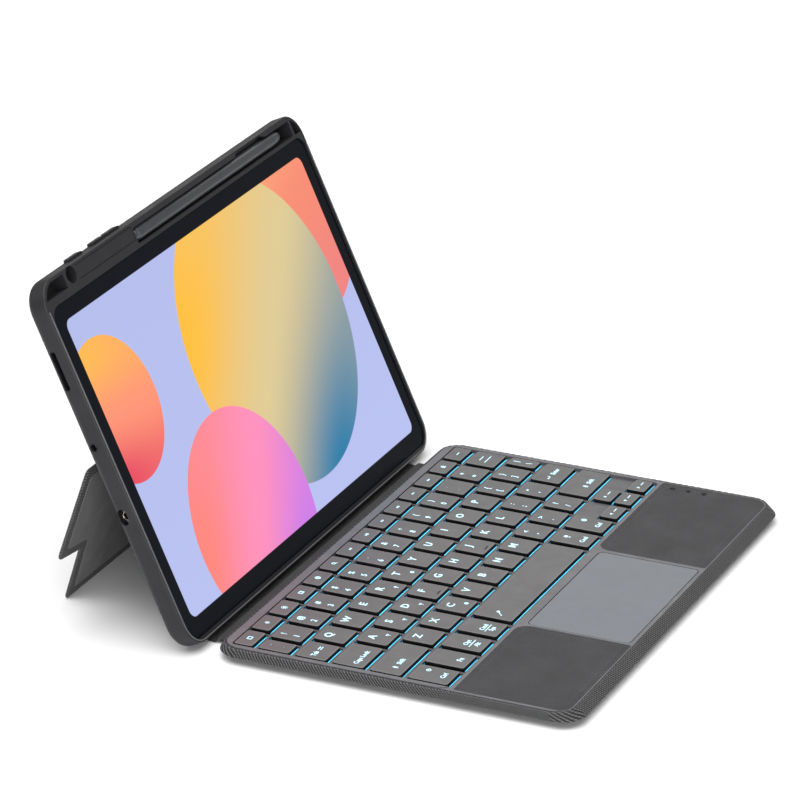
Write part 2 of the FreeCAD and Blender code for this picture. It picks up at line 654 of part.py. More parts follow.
def tablet_body():
    body = plate(-TABLET_HALF_WIDTH, TABLET_HALF_WIDTH, TABLET_LOW, TABLET_HIGH,
                 -TABLET_THICKNESS, -GLASS_THICKNESS, TABLET_CORNER)
    body = body.makeFillet(1.8, level_edges(body, -TABLET_THICKNESS))
    up, back, length, width = JACK
    hole = Part.makeCylinder(1.7, 14.0, Vector(-TABLET_HALF_WIDTH - 1.0, up, -back + 0.9),
                             Vector(1, 0, 0))
    up, back, length, width = CHARGE_SOCKET
    slot = plate(TABLET_HALF_WIDTH - 7.0, TABLET_HALF_WIDTH + 1.0, up - 4.4, up + 4.4,
                 -back - 1.1, -back + 1.4)
    return body.cut(hole).cut(slot)


def screen_glass():
    return plate(-TABLET_HALF_WIDTH, TABLET_HALF_WIDTH, TABLET_LOW, TABLET_HIGH,
                 -GLASS_THICKNESS, 0.0, TABLET_CORNER)


def rear_camera():
    ring = disc(CAMERA_X, CAMERA_Y, 4.6, -TABLET_THICKNESS - 1.2, -TABLET_THICKNESS)
    lens = disc(CAMERA_X, CAMERA_Y, 3.0, -TABLET_THICKNESS - 1.4, -TABLET_THICKNESS - 0.9)
    return ring.cut(disc(CAMERA_X, CAMERA_Y, 3.1, -TABLET_THICKNESS - 1.3,
                         -TABLET_THICKNESS - 0.9)).fuse(lens)


def pen_barrel():
    """Round barrel with a domed left end."""
    z = -PEN_AXIS_DEPTH
    body = Part.makeCylinder(PEN_RADIUS, PEN_TAPER_X - PEN_LEFT - 1.6,
                             Vector(PEN_LEFT + 1.6, PEN_MIDDLE, z), Vector(1, 0, 0))
    dome = Part.makeCone(PEN_RADIUS * 0.62, PEN_RADIUS, 1.6,
                         Vector(PEN_LEFT, PEN_MIDDLE, z), Vector(1, 0, 0))
    return body.fuse(dome)


PEN_TAPER_X = 97.0


def pen_nose():
    """Tapered nose that ends in a small blunt point."""
    z = -PEN_AXIS_DEPTH
    long_cone = Part.makeCone(PEN_RADIUS, PEN_RADIUS * 0.62, 7.0,
                              Vector(PEN_TAPER_X, PEN_MIDDLE, z), Vector(1, 0, 0))
    short_cone = Part.makeCone(PEN_RADIUS * 0.62, 0.6, PEN_RIGHT - PEN_TAPER_X - 7.0,
                               Vector(PEN_TAPER_X + 7.0, PEN_MIDDLE, z), Vector(1, 0, 0))
    return long_cone.fuse(short_cone)


# ---------------------------------------------------------------- the kickstand
def stand_length():
    """Leg length, from hinge to foot, that sets the foot's lower edge on the table."""
    hinge_z = lean_point(STAND_HINGE_UP, SHELL_BACK + PANEL_THICKNESS)[1]
    turn = math.radians(LEAN + STAND_OPEN)
    inner = PANEL_THICKNESS - STAND_LIFT
    return (hinge_z + inner * math.cos(turn)) / math.sin(turn)


def stand_board(low, high):
    """Stepped leg: wide ears beside a longer foot.  Drawn flat on the back, foot downwards."""
    foot = STAND_HINGE_UP - stand_length()
    top = STAND_HINGE_UP - STAND_STRIP
    ear, notch = foot + STAND_EAR_HEIGHT, foot + STAND_NOTCH_HEIGHT
    wide, neck, tip = PANEL_HALF_WIDTH, STAND_NECK_HALF, STAND_FOOT_HALF
    corners = [(-tip, foot), (-neck, notch), (-wide, ear), (-wide, top),
               (wide, top), (wide, ear), (neck, notch), (tip, foot)]
    wire = Part.makePolygon([Vector(x, y, low) for x, y in corners + corners[:1]])
    body = Part.Face(wire).extrude(Vector(0, 0, high - low))
    upright = [e for e in body.Edges if abs(e.BoundBox.ZLength - (high - low)) < 1e-6
               and e.BoundBox.YLength < 1e-6 and e.Vertexes[0].Y > foot + 1.0]
    return body.makeFillet(STAND_CORNER, upright)


def open_stand(shape):
    shape = shape.copy()
    shape.rotate(Vector(0, STAND_HINGE_UP, -SHELL_BACK - PANEL_THICKNESS), Vector(1, 0, 0), STAND_OPEN)
    return lean(shape)


def kickstand_panel():
    outer = -SHELL_BACK - PANEL_THICKNESS
    return stand_board(outer, -SHELL_BACK - STAND_LIFT - STAND_LINING)


def kickstand_lining():
    """Smooth lining on the leg's inner face, inside the turned-over fabric edge."""
    high = -SHELL_BACK - STAND_LIFT
    return stand_board(high - STAND_LINING, high)


def stand_strip():
    """Soft strip between the leg's board and the hinge line."""
    outer = -SHELL_BACK - PANEL_THICKNESS
    return plate(-STAND_STRIP_HALF, STAND_STRIP_HALF, STAND_HINGE_UP - STAND_STRIP,
                 STAND_HINGE_UP - 0.3, outer, outer + 0.8)


# ---------------------------------------------------------------- the spine
def spine():
    """Fabric strip on the table between the base and the shell, narrower than both."""
    far = lean_point(HOLDER_AXIS_UP, HOLDER_AXIS_BACK)[0]
    return plate(-SPINE_HALF_WIDTH, SPINE_HALF_WIDTH, SPINE_AXIS_Y + 0.6, far - 0.3,
                 0.0, SPINE_THICKNESS, 0.6)


def spine_stiffener():
    """Thin board bonded on the spine fabric."""
    return plate(-SPINE_HALF_WIDTH + 3.0, SPINE_HALF_WIDTH - 3.0, SPINE_AXIS_Y + 2.0,
                 SPINE_AXIS_Y + 5.2, SPINE_THICKNESS, SPINE_THICKNESS + 0.8, 0.4)


def all_pieces():
    pieces = {"base_cover": base_cover(), "top_case": top_case(), "key_frame": key_frame(),
              "left_palm_rest": palm_rest(-1), "right_palm_rest": palm_rest(1),
              "touchpad": touchpad(), "touchpad_bracket": touchpad_bracket(),
              "status_leds": status_leds(), "light_sheet": light_sheet(), "key_plate": key_plate(),
              "scissor_supports": scissor_supports(), "rubber_domes": rubber_domes(),
              "circuit_board": circuit_board(), "battery": battery(),
              "base_magnets": base_magnets(), "base_feet": base_feet(),
              "case_screws": case_screws(), "power_switch": power_switch(),
              "charging_socket": charging_socket(), "spine_cover": spine(),
              "spine_stiffener": spine_stiffener()}
    pieces.update(keys())
    leaning = {"tablet_shell": shell(), "back_panel": back_panel(), "spine_strap": spine_strap(),
               "tablet_body": tablet_body(), "screen_glass": screen_glass(),
               "rear_camera": rear_camera(), "pen_barrel": pen_barrel(), "pen_nose": pen_nose()}
    for name, span in BUTTON_SPANS.items():
        leaning[name] = button(span)
    pieces.update({name: lean(shape) for name, shape in leaning.items()})
    pieces["kickstand_panel"] = open_stand(kickstand_panel())
    pieces["kickstand_lining"] = open_stand(kickstand_lining())
    pieces["kickstand_strip"] = open_stand(stand_strip())
    return pieces


def main():
    os.makedirs("parts", exist_ok=True)
    pieces = all_pieces()
    front = min(shape.BoundBox.YMin for shape in pieces.values())
    back = max(shape.BoundBox.YMax for shape in pieces.values())
    shift = Vector(0, -(front + back) / 2.0, 0)
    for name, shape in pieces.items():
        shape.translate(shift)
        shape.exportStep("parts/" + name + ".step")
        print(name, "valid" if shape.isValid() else "INVALID", len(shape.Solids), "solids")
    print("moved along Y by", round(shift.y, 4))
    print("spine axis", SPINE_AXIS_Y + shift.y, SPINE_AXIS_Z)
    holder = lean_point(HOLDER_AXIS_UP, HOLDER_AXIS_BACK)
    print("holder axis", holder[0] + shift.y, holder[1])
    stand = lean_point(STAND_HINGE_UP, SHELL_BACK + PANEL_THICKNESS)
    print("stand axis", stand[0] + shift.y, stand[1])


main()
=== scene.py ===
"""The looks of a tablet keyboard case: cloth, leather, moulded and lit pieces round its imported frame.

Lengths are millimetres until a mesh is made.  A flat piece is laid out as (across, along, out) and
then placed by a Plane, so the leaning tablet and the open kickstand use the same shapes as the base.
"""

import json
import logging
from dataclasses import dataclass
from enum import Enum
from math import cos, radians, sin

import bpy
import numpy as np
from mathutils import Matrix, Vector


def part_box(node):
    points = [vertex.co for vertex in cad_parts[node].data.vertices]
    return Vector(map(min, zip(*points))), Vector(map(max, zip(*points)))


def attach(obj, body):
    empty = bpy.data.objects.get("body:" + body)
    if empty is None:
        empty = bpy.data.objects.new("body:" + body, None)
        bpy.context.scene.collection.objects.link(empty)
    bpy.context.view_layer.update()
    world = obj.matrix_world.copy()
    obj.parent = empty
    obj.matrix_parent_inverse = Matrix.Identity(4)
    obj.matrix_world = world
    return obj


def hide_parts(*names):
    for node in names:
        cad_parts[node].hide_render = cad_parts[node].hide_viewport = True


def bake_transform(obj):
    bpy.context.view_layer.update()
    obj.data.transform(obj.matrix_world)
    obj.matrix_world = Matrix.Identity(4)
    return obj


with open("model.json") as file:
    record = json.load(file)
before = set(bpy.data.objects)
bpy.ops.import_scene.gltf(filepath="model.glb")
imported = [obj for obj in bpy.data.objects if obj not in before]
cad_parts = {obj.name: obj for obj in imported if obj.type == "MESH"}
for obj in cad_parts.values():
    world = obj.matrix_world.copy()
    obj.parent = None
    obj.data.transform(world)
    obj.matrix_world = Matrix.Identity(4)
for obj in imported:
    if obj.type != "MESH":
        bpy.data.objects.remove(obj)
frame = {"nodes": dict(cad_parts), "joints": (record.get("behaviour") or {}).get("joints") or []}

LOG = logging.getLogger("keyboard_case")
MM = 0.001
Array = np.ndarray
Colour = tuple[float, float, float]
BLACK: Colour = (0.0, 0.0, 0.0)
DUST_COLOUR: Colour = (0.32, 0.31, 0.3)


# ---------------------------------------------------------------- shapes in numpy
def ring_steps(outline: Array) -> Array:
    """Distance along a closed outline at each point and once more at its end.

    Args:
        outline: points (n, 2).

    Returns:
        n + 1 lengths, starting at 0.
    """
    runs = np.linalg.norm(np.roll(outline, -1, axis=0) - outline, axis=1)
    return np.concatenate([[0.0], np.cumsum(runs)])


def rounded_outline(left: float, right: float, front: float, back: float,
                    radii: float | tuple[float, float, float, float], arc_steps: int = 6,
                    side_steps: int = 1) -> Array:
    """Anticlockwise rectangle whose corners are quarter circles: centre + radius (cos a, sin a).

    Args:
        left, right, front, back: the rectangle's sides.
        radii: one radius, or four from the front left corner round.
        arc_steps: runs in each corner.
        side_steps: runs along each straight side.

    Returns:
        Points (n, 2).
    """
    r = np.broadcast_to(np.asarray(radii, float), (4,))
    centres = np.array([[left + r[0], front + r[0]], [right - r[1], front + r[1]],
                        [right - r[2], back - r[2]], [left + r[3], back - r[3]]])
    angle = np.radians([180.0, 270.0, 0.0, 90.0])[:, None] + np.linspace(0.0, np.pi / 2, arc_steps + 1)
    arcs = centres[:, None] + r[:, None, None] * np.stack([np.cos(angle), np.sin(angle)], -1)
    share = (np.arange(1, side_steps) / side_steps)[None, :, None]
    sides = arcs[:, -1:] * (1.0 - share) + np.roll(arcs[:, :1], -1, axis=0) * share
    return np.concatenate([arcs, sides], axis=1).reshape(-1, 2)


def round_outline(arc_steps: int) -> Array:
    """A circle of radius 1 about the origin, with the given runs in each quarter."""
    return rounded_outline(-1.0, 1.0, -1.0, 1.0, 1.0, arc_steps)


def ease(share: Array) -> Array:
    """A share that starts and stops gently: 3 s^2 - 2 s^3."""
    return share * share * (3.0 - 2.0 * share)


def unit(vectors: Array) -> Array:
    """The vectors at length 1."""
    return vectors / np.linalg.norm(vectors, axis=-1, keepdims=True)


def rounded_polygon(corners: Array, radii: Array, steps: int = 5) -> Array:
    """A polygon with each corner P swapped for the curve (1-t)^2 A + 2t(1-t) P + t^2 B.

    Args:
        corners: points (n, 2), anticlockwise.
        radii: how far A and B lie from each corner.
        steps: runs in each corner.

    Returns:
        Points (n * (steps + 1), 2).
    """
    def towards(other: Array) -> Array:
        """The point at the corner's own radius on the way to another corner."""
        gap = other - corners
        return corners + gap / np.linalg.norm(gap, axis=1, keepdims=True) * np.asarray(radii)[:, None]

    a, b = towards(np.roll(corners, 1, axis=0)), towards(np.roll(corners, -1, axis=0))
    t = np.linspace(0.0, 1.0, steps + 1)[None, :, None]
    curve = (1 - t) ** 2 * a[:, None] + 2 * t * (1 - t) * corners[:, None] + t ** 2 * b[:, None]
    return curve.reshape(-1, 2)


def inset(outline: Array, amount: float) -> Array:
    """An anticlockwise outline moved inwards: P - d (m + n) / (1 + m.n) for its edges' normals m, n.

    Args:
        outline: points (n, 2).
        amount: distance inwards; negative moves outwards.

    Returns:
        Points (n, 2).
    """
    run = np.roll(outline, -1, axis=0) - outline
    run /= np.maximum(np.linalg.norm(run, axis=1, keepdims=True), 1e-9)
    after = np.stack([run[:, 1], -run[:, 0]], -1)
    before = np.roll(after, 1, axis=0)
    share = 1.0 + np.sum(before * after, axis=1, keepdims=True)
    return outline - amount * (before + after) / np.maximum(share, 0.2)


def level(outline: Array, height: float) -> Array:
    """The outline as points (n, 3) at one height."""
    return np.column_stack([outline, np.full(len(outline), height)])


def soften(loops: Array, radius: float, steps: int = 3) -> tuple[Array, Array]:
    """Rounds the corners of a stack of loops with the curve (1-t)^2 A + 2t(1-t) C + t^2 B.

    Args:
        loops: control loops (k, n, 3); the first and last stay as they are.
        radius: how far A and B lie from a corner loop C, up to 0.45 of the way.
        steps: runs in each rounding.

    Returns:
        The loops, and a mark for each that is 1 in the middle of a rounding.
    """
    here = loops[1:-1]

    def towards(other: Array) -> Array:
        """The loop at the given radius on the way to a neighbour."""
        gap = other - here
        length = np.maximum(np.linalg.norm(gap, axis=-1, keepdims=True), 1e-9)
        return here + gap * np.minimum(radius / length, 0.45)

    a, b = towards(loops[:-2]), towards(loops[2:])
    t = np.linspace(0.0, 1.0, steps + 1)
    s = t[None, :, None, None]
    curve = (1 - s) ** 2 * a[:, None] + 2 * s * (1 - s) * here[:, None] + s ** 2 * b[:, None]
    marks = np.concatenate([[0.0], np.tile(4 * t * (1 - t), len(here)), [0.0]])
    return np.concatenate([loops[:1], curve.reshape(-1, *loops.shape[1:]), loops[-1:]]), marks


def slab_loops(outline: Array, low: float, high: float, edge: float) -> Array:
    """Control loops of a plate, with a rim inside each face so that its edge can be rounded."""
    rim = inset(outline, 1.6 * edge)
    return np.stack([level(rim, low), level(outline, low), level(outline, high), level(rim, high)])


@dataclass(frozen=True)
class Plane:
    """A flat working plane: turned about X by an angle, with its origin at (0, y, z)."""

    y: float = 0.0
    z: float = 0.0
    angle: float = 0.0

    def place(self, points: Array) -> Array:
        """Row-frame places of points given as (across, along, out)."""
        along, out = points[..., 1], points[..., 2]
        c, s = cos(self.angle), sin(self.angle)
        return np.stack([points[..., 0], self.y + along * c - out * s, self.z + along * s + out * c], -1)


FLAT = Plane()


class Surface:
    """Gathers stretches of surface in millimetres and makes one mesh object of them."""

    def __init__(self, plane: Plane = FLAT) -> None:
        """Starts an empty surface that is placed by a plane."""
        self._plane = plane
        self._points: list[Array] = []
        self._faces: list[Array] = []
        self._uvs: list[Array] = []
        self._marks: list[Array] = []
        self._count = 0

    def add(self, points: Array, faces: Array, uv: Array | None = None,
            marks: Array | None = None) -> None:
        """Adds faces that all have the same number of corners.

        Args:
            points: (n, 3) in the plane's own directions.
            faces: (m, k) indices into points.
            uv: (m, k, 2) in millimetres; by default the points seen from above.
            marks: (n, 2) edge-wear and painted-glow amounts from 0 to 1.
        """
        self._points.append(self._plane.place(points))
        self._faces.append(faces + self._count)
        self._uvs.append(points[faces][..., :2] if uv is None else uv)
        self._marks.append(np.zeros((len(points), 2)) if marks is None else marks)
        self._count += len(points)

    def grid(self, points: Array, wrap: bool = True, tube: bool = False, uv: Array | None = None,
             marks: Array | None = None) -> None:
        """Adds a grid of quads over points (rows, columns, 3).

        Args:
            points: rows of points; across a row is the first way, from row to row the second.
            wrap: the last column joins the first.
            tube: the last row joins the first.
            uv: (rows + tube, columns + wrap, 2); by default distances along the grid.
            marks: (rows, columns, 2).
        """
        rows, columns = points.shape[:2]
        i, j = np.meshgrid(np.arange(rows - (not tube)), np.arange(columns - (not wrap)), indexing="ij")
        below, above, right = i % rows, (i + 1) % rows, (j + 1) % columns
        corners = [(below, j), (below, right), (above, right), (above, j)]
        faces = np.stack([r * columns + c for r, c in corners], -1).reshape(-1, 4)
        if uv is None:
            across = np.linalg.norm(np.roll(points[0], -1, axis=0) - points[0], axis=1)
            up = np.linalg.norm(np.roll(points, -1, axis=0) - points, axis=2).mean(axis=1)
            u = np.concatenate([[0.0], np.cumsum(across)])
            v = np.concatenate([[0.0], np.cumsum(up)])
            uv = np.stack(np.meshgrid(u, v), -1)
        spots = [(i, j), (i, j + 1), (i + 1, j + 1), (i + 1, j)]
        corner_uv = np.stack([uv[r, c] for r, c in spots], 2).reshape(-1, 4, 2)
        self.add(points.reshape(-1, 3), faces, corner_uv,
                 None if marks is None else marks.reshape(-1, 2))

    def cap(self, loop: Array, up: bool = True) -> None:
        """Closes a loop with one face that looks out, or in with up=False."""
        order = np.arange(len(loop))
        self.add(loop, (order if up else order[::-1])[None])

    def hull(self, loops: Array, uv: Array | None = None, marks: Array | None = None) -> None:
        """Adds a closed solid through loops (k, n, 3): its sides as a grid, and both ends capped."""
        self.grid(loops, uv=uv, marks=marks)
        self.cap(loops[0], up=False)
        self.cap(loops[-1])

    def stack(self, loops: Array, edge: float = 0.0, steps: int = 3, planar: bool = False) -> None:
        """Adds a closed solid through a stack of loops, from its underside to its top.

        Args:
            loops: control loops (k, n, 3), anticlockwise seen from above.
            edge: radius of the rounding at each inner control loop.
            steps: runs in each rounding.
            planar: the sides take their UV places from above, like the faces.
        """
        marks = np.zeros(len(loops))
        if edge > 0.0:
            loops, marks = soften(loops, edge, steps)
        both = np.zeros((*loops.shape[:2], 2))
        both[..., 0] = marks[:, None]
        flat = np.concatenate([loops, loops[:, :1]], axis=1)[..., :2]
        self.hull(loops, flat if planar else None, both)

    def slab(self, outline: Array, low: float, high: float, edge: float, steps: int = 3) -> None:
        """Adds a plate with rounded edges."""
        self.stack(slab_loops(outline, low, high, edge), edge, steps)

    def prism(self, outline: Array, low: float, high: float) -> None:
        """Adds a plate with sharp edges."""
        self.stack(np.stack([level(outline, low), level(outline, high)]))

    def band(self, inner: Array, outer: Array, low: float, high: float) -> None:
        """Adds a flat ring between two outlines of equally many points."""
        loops = [level(inner, low), level(outer, low), level(outer, high), level(inner, high)]
        self.grid(np.stack(loops), tube=True)

    def tube(self, path: Array, radius: float | Array, sides: int = 10, closed: bool = False) -> None:
        """Adds a round tube: path + radius (n cos a + b sin a), n and b square to the path.

        Args:
            path: points (n, 3).
            radius: one radius, or one for each point.
            sides: corners of its section.
            closed: the end joins the start; otherwise both ends get a cap.
        """
        if closed:
            run = np.roll(path, -1, axis=0) - np.roll(path, 1, axis=0)
        else:
            run = np.gradient(path, axis=0)
        run = unit(run)
        side = unit(np.cross(np.eye(3)[np.argmin(np.ptp(path, axis=0))], run))
        top = np.cross(run, side)
        a = np.linspace(0.0, 2 * np.pi, sides, endpoint=False)[None, :, None]
        r = np.broadcast_to(np.asarray(radius, float), (len(path),))[:, None, None]
        loops = path[:, None] + r * (side[:, None] * np.cos(a) + top[:, None] * np.sin(a))
        if closed:
            self.grid(loops, tube=True)
        else:
            self.hull(loops)

    def copies(self, points: Array, faces: Array, places: Array) -> None:
        """Adds a small shape again and again.

        Args:
            points: (k, n, 3) the shape turned for each place, or (1, n, 3) for all.
            faces: (m, c) its faces.
            places: (k, 3).
        """
        spots = points + places[:, None]
        count = spots.shape[1]
        ids = faces[None] + (np.arange(len(places)) * count)[:, None, None]
        self.add(spots.reshape(-1, 3), ids.reshape(-1, faces.shape[1]))

    def piece(self, name: str, finish: "bpy.types.Material", smooth: float = 40.0) -> bpy.types.Object:
        """Makes the mesh object.

        Args:
            name: the piece's name.
            finish: its material.
            smooth: faces that meet at less than this angle, in degrees, share their shading.

        Returns:
            The object, at the origin, with its place in its mesh.
        """
        mesh = bpy.data.meshes.new(name)
        points = np.concatenate(self._points) * MM
        mesh.vertices.add(len(points))
        mesh.vertices.foreach_set("co", points.ravel())
        corners = np.concatenate([f.ravel() for f in self._faces])
        sizes = np.concatenate([np.full(len(f), f.shape[1]) for f in self._faces])
        mesh.loops.add(len(corners))
        mesh.loops.foreach_set("vertex_index", corners.astype(np.int32))
        mesh.polygons.add(len(sizes))
        starts = np.concatenate([[0], np.cumsum(sizes)[:-1]])
        mesh.polygons.foreach_set("loop_start", starts.astype(np.int32))
        uv = np.concatenate([u.reshape(-1, 2) for u in self._uvs])
        mesh.update(calc_edges=True)
        mesh.uv_layers.new(name="Surface").data.foreach_set("uv", uv.astype(np.float32).ravel())
        marks = np.concatenate(self._marks).astype(np.float32)
        # The second mark is the painted glow of the key fronts.
        for column, label in enumerate(("edge", "painted_glow")):
            mesh.attributes.new(label, "FLOAT", "POINT").data.foreach_set("value", marks[:, column].copy())
        mesh.polygons.foreach_set("use_smooth", np.ones(len(sizes), bool))
        mesh.validate()
        mesh.set_sharp_from_angle(angle=radians(smooth))
        mesh.materials.append(finish)
        made = bpy.data.objects.new(name, mesh)
        bpy.context.scene.collection.objects.link(made)
        LOG.info("%s: %d faces", name, len(mesh.polygons))
        return made


# ---------------------------------------------------------------- shader graphs
class Graph:
    """Short ways to add and join the nodes of one node tree."""

    def __init__(self, tree: bpy.types.NodeTree) -> None:
        """Works on the given tree."""
        self.tree = tree

    def node(self, kind: str, **settings: object) -> bpy.types.Node:
        """Adds a node and sets its properties."""
        made = self.tree.nodes.new(kind)
        for name, value in settings.items():
            setattr(made, name, value)
        return made

    def feed(self, socket: bpy.types.NodeSocket, value: object) -> None:
        """Joins an output to a socket, or sets the socket to a plain value."""
        if isinstance(value, bpy.types.NodeSocket):
            self.tree.links.new(value, socket)
        elif isinstance(value, tuple) and len(value) == 3 and socket.type == "RGBA":
            socket.default_value = (*value, 1.0)
        else:
            socket.default_value = value

    def math(self, operation: str, a: object, b: object = 0.0, c: object = 0.0,
             clamp: bool = False) -> bpy.types.NodeSocket:
        """The result of a Math node."""
        made = self.node("ShaderNodeMath", operation=operation, use_clamp=clamp)
        for socket, value in zip(made.inputs, (a, b, c)):
            self.feed(socket, value)
        return made.outputs[0]

    def split(self, value: object) -> tuple[bpy.types.NodeSocket, ...]:
        """The three parts of a vector."""
        made = self.node("ShaderNodeSeparateXYZ")
        self.feed(made.inputs[0], value)
        return tuple(made.outputs)

    def vector(self, operation: str, a: object, b: object = (0.0, 0.0, 0.0)) -> bpy.types.Node:
        """A Vector Math node."""
        made = self.node("ShaderNodeVectorMath", operation=operation)
        self.feed(made.inputs[0], a)
        self.feed(made.inputs[1], b)
        return made

    def mix(self, share: object, a: object, b: object) -> bpy.types.NodeSocket:
        """Colour a turning into colour b as share goes from 0 to 1."""
        made = self.node("ShaderNodeMix", data_type="RGBA")
        self.feed(made.inputs["Factor"], share)
        self.feed(made.inputs[6], a)
        self.feed(made.inputs[7], b)
        return made.outputs[2]

    def span(self, value: object, low: float, high: float, to_low: float = 0.0,
             to_high: float = 1.0, smooth: bool = False) -> bpy.types.NodeSocket:
        """A value's place between low and high, as a number between to_low and to_high."""
        made = self.node("ShaderNodeMapRange",
                         interpolation_type="SMOOTHSTEP" if smooth else "LINEAR")
        for socket, number in zip(made.inputs, (value, low, high, to_low, to_high)):
            self.feed(socket, number)
        return made.outputs[0]

    def noise(self, place: object, scale: object, detail: float = 2.0) -> bpy.types.NodeSocket:
        """Smooth noise from 0 to 1."""
        made = self.node("ShaderNodeTexNoise")
        self.feed(made.inputs["Vector"], place)
        self.feed(made.inputs["Scale"], scale)
        made.inputs["Detail"].default_value = detail
        return made.outputs["Fac"]

    def give(self, node: bpy.types.Node, **values: object) -> bpy.types.Node:
        """Sets or joins a node's inputs by name; an underscore in a name stands for a space."""
        for name, value in values.items():
            self.feed(node.inputs[name.replace("_", " ")], value)
        return node

    def group(self, tree: bpy.types.NodeTree, **values: object) -> bpy.types.Node:
        """Places a node group and gives it its inputs."""
        return self.give(self.node("ShaderNodeGroup", node_tree=tree), **values)


class SharedGroups:
    """The node groups that several finishes share, each built once."""

    def __init__(self) -> None:
        """Builds every group."""
        self.weave = self._weave()
        self.grain = self._grain()
        self.wear = self._wear()
        self.dust = self._dust()
        self.disc = self._disc()

    @staticmethod
    def _start(name: str, inputs: dict[str, tuple[str, object]],
               outputs: dict[str, str]) -> tuple[Graph, bpy.types.Node, bpy.types.Node]:
        """Makes a group with named sockets.

        Args:
            name: the group's name.
            inputs: socket name to its kind and its value when nothing is joined.
            outputs: socket name to its kind.

        Returns:
            The graph, its input node and its output node.
        """
        tree = bpy.data.node_groups.new(name, "ShaderNodeTree")
        for label, (kind, value) in inputs.items():
            socket = tree.interface.new_socket(name=label, in_out="INPUT", socket_type="NodeSocket" + kind)
            if value is not None:
                socket.default_value = value
        for label, kind in outputs.items():
            tree.interface.new_socket(name=label, in_out="OUTPUT", socket_type="NodeSocket" + kind)
        graph = Graph(tree)
        return graph, graph.node("NodeGroupInput"), graph.node("NodeGroupOutput")

    def _weave(self) -> bpy.types.NodeTree:
        """Twill: slanted ribs, cut into threads by a finer slant the other way."""
        g, given, out = self._start(
            "twill_weave",
            {"Place": ("Vector", None), "Pitch": ("Float", 1.0), "Slant": ("Float", 0.5)},
            {"Height": "Float", "Thread": "Float", "Tone": "Float"})
        x, y, _ = g.split(given.outputs["Place"])
        wobble = g.math("MULTIPLY", g.noise(given.outputs["Place"], 0.35, 3.0), 0.5)
        across = g.math("ADD", g.math("MULTIPLY", y, given.outputs["Slant"]), x)
        turns = g.math("ADD", g.math("DIVIDE", across, given.outputs["Pitch"]), wobble)
        rib = g.math("ABSOLUTE", g.math("SINE", g.math("MULTIPLY", turns, np.pi)))
        along = g.math("DIVIDE", g.math("SUBTRACT", y, g.math("MULTIPLY", across, 0.3)),
                       g.math("MULTIPLY", given.outputs["Pitch"], 0.55))
        thread = g.math("ABSOLUTE", g.math("SINE", g.math("MULTIPLY", along, np.pi)))
        height = g.math("MULTIPLY_ADD", thread, 0.35, g.math("MULTIPLY", rib, 0.65))
        g.feed(out.inputs["Height"], height)
        g.feed(out.inputs["Thread"], g.math("MULTIPLY", rib, g.math("MULTIPLY_ADD", thread, 0.35, 0.65)))
        g.feed(out.inputs["Tone"], g.noise(given.outputs["Place"], 0.06, 4.0))
        return g.tree

    def _grain(self) -> bpy.types.NodeTree:
        """Pebbled or sparked grain: cells with soft valleys, over slow changes of tone."""
        g, given, out = self._start(
            "fine_grain", {"Place": ("Vector", None), "Size": ("Float", 0.6)},
            {"Height": "Float", "Tone": "Float"})
        scale = g.math("DIVIDE", 1.0, given.outputs["Size"])
        cells = g.node("ShaderNodeTexVoronoi", feature="SMOOTH_F1")
        g.feed(cells.inputs["Vector"], given.outputs["Place"])
        g.feed(cells.inputs["Scale"], scale)
        fine = g.noise(given.outputs["Place"], g.math("MULTIPLY", scale, 2.0), 2.0)
        pebble = g.math("SUBTRACT", 1.0, cells.outputs["Distance"])
        g.feed(out.inputs["Height"], g.math("MULTIPLY_ADD", fine, 0.4, g.math("MULTIPLY", pebble, 0.6)))
        g.feed(out.inputs["Tone"], g.noise(given.outputs["Place"], g.math("MULTIPLY", scale, 0.03), 4.0))
        return g.tree

    def _wear(self) -> bpy.types.NodeTree:
        """Where an edge is rubbed: the mesh's edge mark, broken up by noise."""
        g, given, out = self._start(
            "edge_wear", {"Place": ("Vector", None), "Edge": ("Float", 0.0), "Amount": ("Float", 0.5)},
            {"Mask": "Float"})
        broken = g.span(g.noise(given.outputs["Place"], 0.5, 4.0), 0.3, 0.75)
        rubbed = g.math("MULTIPLY", given.outputs["Edge"], g.math("MULTIPLY_ADD", broken, 0.6, 0.4))
        g.feed(out.inputs["Mask"], g.math("MULTIPLY", rubbed, given.outputs["Amount"], clamp=True))
        return g.tree

    def _dust(self) -> bpy.types.NodeTree:
        """Fine dust: specks that lie on faces that look up."""
        g, given, out = self._start(
            "settled_dust", {"Place": ("Vector", None), "Amount": ("Float", 0.1)}, {"Mask": "Float"})
        flat = g.span(g.split(g.node("ShaderNodeNewGeometry").outputs["Normal"])[2], 0.3, 0.95)
        specks = g.span(g.noise(given.outputs["Place"], 1.1, 5.0), 0.55, 0.8)
        film = g.span(g.noise(given.outputs["Place"], 0.03, 3.0), 0.3, 0.8)
        whole = g.math("MULTIPLY_ADD", specks, 0.6, g.math("MULTIPLY", film, 0.4))
        g.feed(out.inputs["Mask"], g.math("MULTIPLY", g.math("MULTIPLY", whole, flat),
                                          given.outputs["Amount"], clamp=True))
        return g.tree

